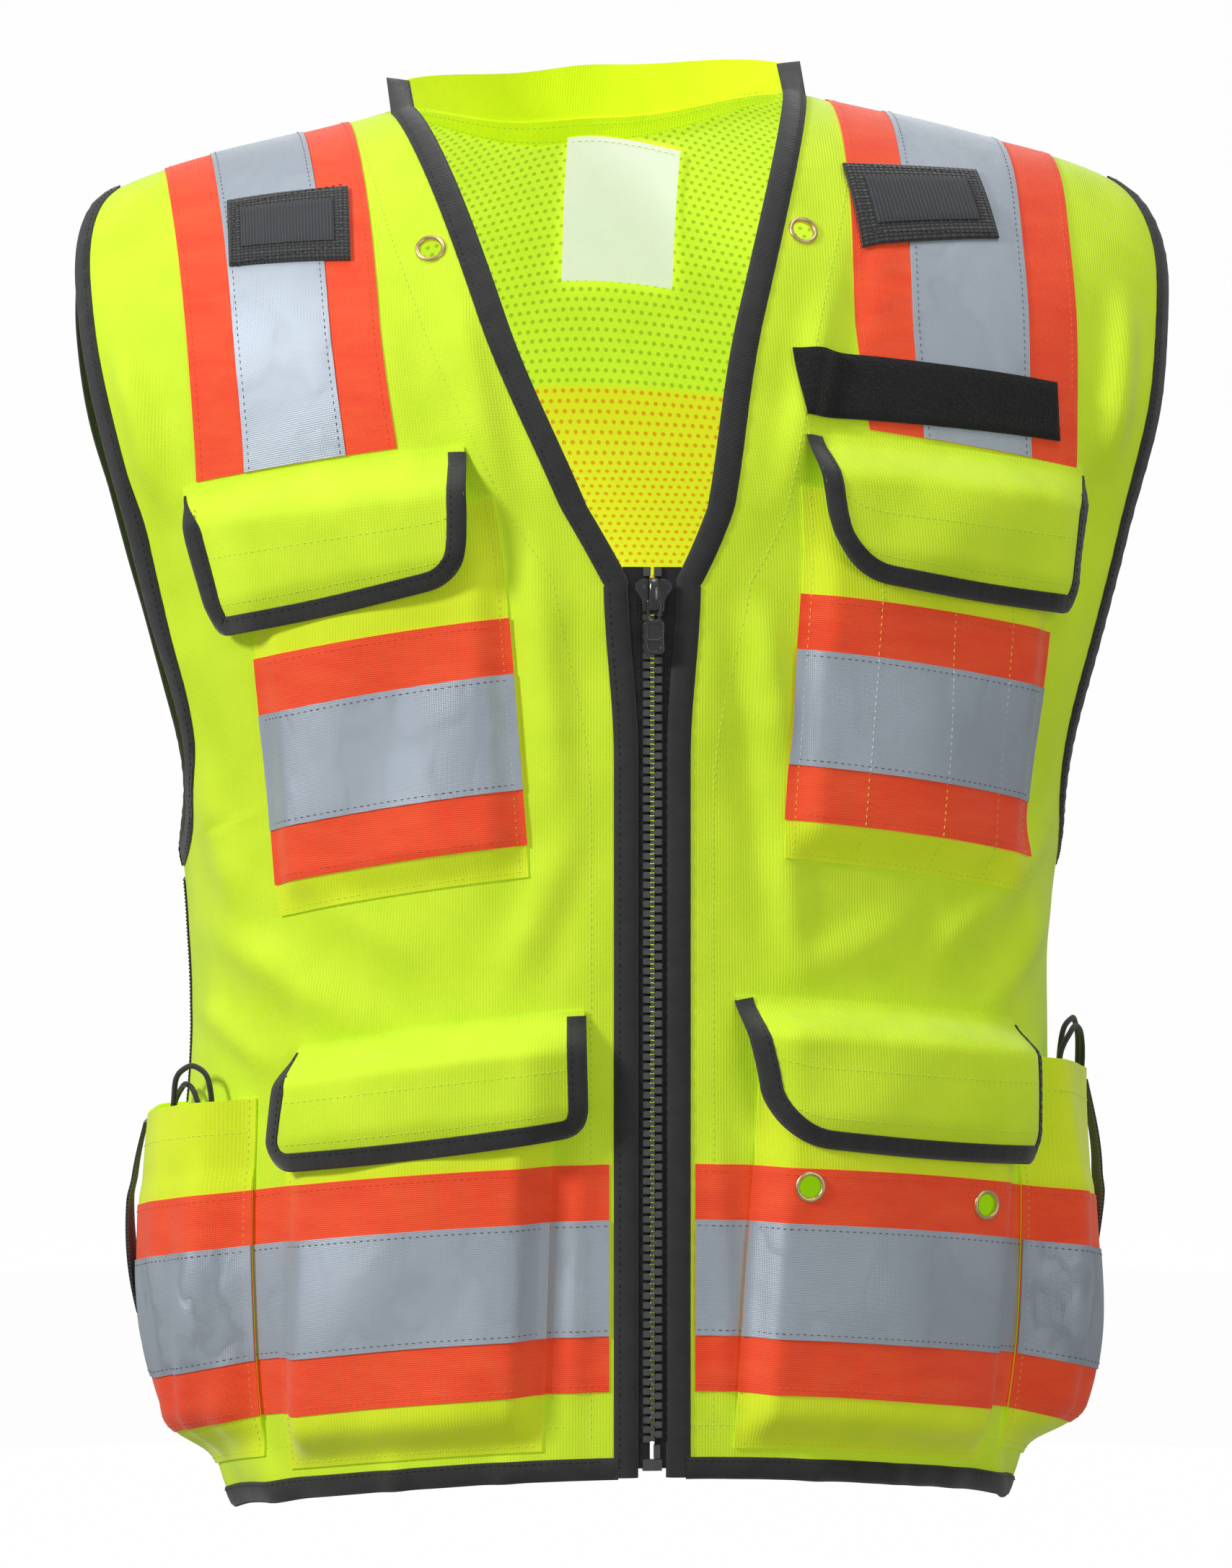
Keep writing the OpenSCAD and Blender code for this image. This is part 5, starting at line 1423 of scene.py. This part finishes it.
def zipper_teeth():
    verts, faces = tooth_mesh()
    first = ZIP_BOTTOM + 14
    count = int((SLIDER_H + 4 - first) / TOOTH_PITCH)
    for hand, side_name in HANDS:
        flip = np.array([hand, 1, 1])
        all_verts, all_faces = [], []
        for i in range(count):
            z = first + (i + (0.5 if hand > 0 else 0)) * TOOTH_PITCH
            all_verts.append(verts * flip + (0, -FRONT_DEPTH - 0.7, z))
            shift = i * len(verts)
            all_faces += [[v + shift for v in (f if hand > 0 else f[::-1])] for f in faces]
        build(f"zipper_teeth_{side_name}_row", np.concatenate(all_verts), all_faces, TEETH,
              "zipper_plastic", [f"zipper_teeth_{side_name}"], sharp=30)


def plate(name, outline, y0, y1, bevel, body, holes=()):
    """Enamelled plate with rounded edges, parallel to the front and between two depths."""
    mesh = bmesh.new()
    edges = []
    for loop in (outline, *holes):
        ring_verts = [mesh.verts.new((x * MM, y0 * MM, z * MM)) for x, z in loop]
        edges += [mesh.edges.new((a, b)) for a, b in zip(ring_verts, ring_verts[1:] + ring_verts[:1])]
    filled = bmesh.ops.triangle_fill(mesh, edges=edges, use_beauty=True)
    faces = [f for f in filled["geom"] if isinstance(f, bmesh.types.BMFace)]
    grown = bmesh.ops.extrude_face_region(mesh, geom=faces)
    top = [v for v in grown["geom"] if isinstance(v, bmesh.types.BMVert)]
    bmesh.ops.translate(mesh, verts=top, vec=(0, (y1 - y0) * MM, 0))
    bmesh.ops.recalc_face_normals(mesh, faces=mesh.faces)
    sharp = [e for e in mesh.edges if len(e.link_faces) == 2 and e.calc_face_angle(0) > 0.6]
    bmesh.ops.bevel(mesh, geom=sharp, offset=bevel * MM, segments=3, affect="EDGES", clamp_overlap=True)
    data = bpy.data.meshes.new(name)
    mesh.to_mesh(data)
    mesh.free()
    return add_piece(data, ENAMEL, "zipper_plastic", [f"zipper_{body}"], body, 50)


def arc(cx, cz, r, start, end, count=8):
    """Points on an arc, in degrees from +x towards +z."""
    turn = [math.radians(mix(start, end, k / count)) for k in range(count + 1)]
    return [(cx + r * math.cos(a), cz + r * math.sin(a)) for a in turn]


def mirrored(points):
    """The points, and their mirror image in reverse order, as one outline."""
    return points + [(-x, z) for x, z in reversed(points)]


def slider_parts():
    z = SLIDER_H
    # Two rounded lobes above a narrower heel, with a notch between them at the top
    side = [(4.6, z - 7.4), (4.9, z - 2.6), (6.6, z + 0.4)]
    side += arc(4.2, z + 3.3, 3.8, -20, 130, 12) + [(1.0, z + 5.0)]
    front, back = -FRONT_DEPTH - 3.2, -FRONT_DEPTH + 2.6
    plate("slider_front_plate", mirrored(side), front, front - 1.5, 0.5, "slider")
    plate("slider_back_plate", mirrored(side), back, back + 1.4, 0.4, "slider")
    # Crown: an arch that the pull hangs from, as a bar swept up and over
    turn = np.linspace(0, math.pi, 15)
    line = np.stack([0 * turn, front - 1.2 - 3.9 * np.sin(turn) ** 0.7, z + 7.0 * np.cos(turn)], 1)
    tangent = unit(np.gradient(line, axis=0))
    across = np.array([[1.0, 0, 0]])
    normal = np.cross(tangent, across)
    sides = np.linspace(0, 2 * math.pi, 13)[:-1]
    rings = (line[:, None] + 2.1 * np.cos(sides)[None, :, None] * across[:, None]
             + 0.75 * np.sin(sides)[None, :, None] * normal[:, None])
    sweep("slider_crown", rings, ENAMEL, "zipper_plastic", ["zipper_slider"], LEFT, "slider")


def pull_parts():
    """Pull tab: two arms on a pin through the crown, then a rimmed tab with recessed panels."""
    depth = FRONT_DEPTH + 6.1
    z = SLIDER_H - 3
    turn = np.linspace(0, 2 * math.pi, 17)[:-1]
    x = np.array([-3.1, -2.8, 2.8, 3.1])
    r = np.array([0.6, 0.9, 0.9, 0.6])
    rings = np.stack([np.broadcast_to(x[:, None], (4, 16)), -depth + r[:, None] * np.cos(turn),
                      z + r[:, None] * np.sin(turn)], -1)
    sweep("pull_pin", rings, ENAMEL, "zipper_plastic", ["zipper_pull"], LEFT, "pull")
    for s, side_name in HANDS:
        arm = [(s * 1.9, z + 0.8), (s * 3.1, z + 0.8), (s * 3.1, z - 9.5), (s * 1.9, z - 9.5)]
        plate(f"pull_arm_{side_name}", arm, -depth - 0.8, -depth + 0.8, 0.3, "pull")
    body = [(2.2, z - 8)] + arc(2.9, z - 10, 1.6, 90, 0, 5) + [(4.4, z - 16.5)]
    body += arc(2.4, z - 21, 2.2, 10, -90, 8)
    top_panel = mirrored([(0.9, z - 9.9), (2.5, z - 9.9), (2.9, z - 10.5), (2.9, z - 15.7), (2.4, z - 16.3),
                          (0.9, z - 16.3)])
    low_panel = mirrored([(0.7, z - 17.8), (2.4, z - 17.8), (2.9, z - 18.4), (2.7, z - 20.4),
                          (1.7, z - 21.6), (0.7, z - 21.8)])
    plate("pull_tab_rim", mirrored(body), -depth - 0.95, -depth + 0.9, 0.3, "pull", (top_panel, low_panel))
    panel = mirrored([(0.5, z - 9.2), (3.4, z - 9.2), (3.6, z - 16.8), (3.0, z - 21.6), (0.5, z - 22.2)])
    plate("pull_tab_panel", panel, -depth - 0.35, -depth + 0.35, 0.15, "pull")


zipper_tapes()
zipper_teeth()
slider_parts()
pull_parts()
for node in ("zipper_top_stops", "zipper_insertion_pin", "zipper_retainer_box"):
    stop = frame["nodes"][node]
    stop.data.materials.clear()
    stop.data.materials.append(TEETH)
    soft = stop.modifiers.new("eased edges", "BEVEL")
    soft.width = 0.4 * MM
    soft.segments = 2


# ---------- Stitch objects, and flap pieces baked in place ---

def bend_with_flap(obj, name):
    """Finds the flap's hinge, axis and downward direction, and bakes the piece's transform into its mesh.
    """
    joint = next(j for j in frame["joints"] if j["child"] == name)
    hinge = Vector(joint["pos_m"])
    axis = Vector(joint["axis"]).normalized()
    down = Vector((0, 0, -1))
    down = (down - axis * down.dot(axis)).normalized()
    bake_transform(obj)


stitch_pieces = stitching.make()
for flap_name, pieces in flap_pieces.items():
    for piece in pieces + stitch_pieces.get(flap_name, []):
        bend_with_flap(piece, flap_name)


# ---------- Studio ----------

def studio_material():
    """White to the camera, and a soft grey light source to the vest."""
    s = Shader("studio_white", Roughness=1.0, Specular_IOR_Level=0.0)
    s.bsdf.inputs["Emission Color"].default_value = rgb(1, 1, 1)
    seen = s.node("ShaderNodeLightPath")
    s.link(seen * 0.74 + 0.24, "Emission Strength")
    return s.finish(s.blend(s.noise(900, 1.0), rgb(0.02, 0.02, 0.02), rgb(0.022, 0.022, 0.022)))


def studio():
    """White bowl that the vest floats in, soft lights and a pale sky."""
    floor = -0.78
    profile = [(3, floor), (6.5, floor), (7.6, -0.5), (8.2, 0.4), (8.4, 5.0)]
    count = 64
    turn = 2 * math.pi * np.arange(count) / count
    verts = [(r * math.cos(a), r * math.sin(a), z) for r, z in profile for a in turn]
    verts.append((0, 0, floor))
    faces = grid_faces(len(profile), count, wrap=True).tolist()
    faces += [(k, (k + 1) % count, len(verts) - 1) for k in range(count)]
    mesh = bpy.data.meshes.new("studio_bowl")
    mesh.from_pydata(verts, [], faces)
    mesh.polygons.foreach_set("use_smooth", np.ones(len(mesh.polygons), bool))
    mesh.materials.append(studio_material())
    link("studio_bowl", mesh)
    # Name, place, size and power of each lamp
    lamps = (("key", (-3.0, -1.6, 1.3), 0.7, 80), ("fill", (2.0, -3.2, 0.2), 2.0, 20),
             ("top", (0.2, -0.6, 2.6), 1.6, 22), ("back", (0.6, 3.2, 1.2), 2.4, 30))
    for name, place, size, power in lamps:
        data = bpy.data.lights.new(name, "AREA")
        data.size = size
        data.energy = power
        lamp = link(name, data)
        lamp.location = place
        lamp.rotation_mode = "QUATERNION"
        aim = Vector((0, 0, -0.3)) - Vector(place)
        lamp.rotation_quaternion = aim.to_track_quat("-Z", "Y")
    world = bpy.data.worlds.new("studio")
    world.use_nodes = True
    sky = world.node_tree.nodes["Background"]
    sky.inputs["Color"].default_value = rgb(1, 1, 1)
    sky.inputs["Strength"].default_value = 0.4
    bpy.context.scene.world = world
    bpy.context.scene.view_settings.view_transform = "Standard"


studio()
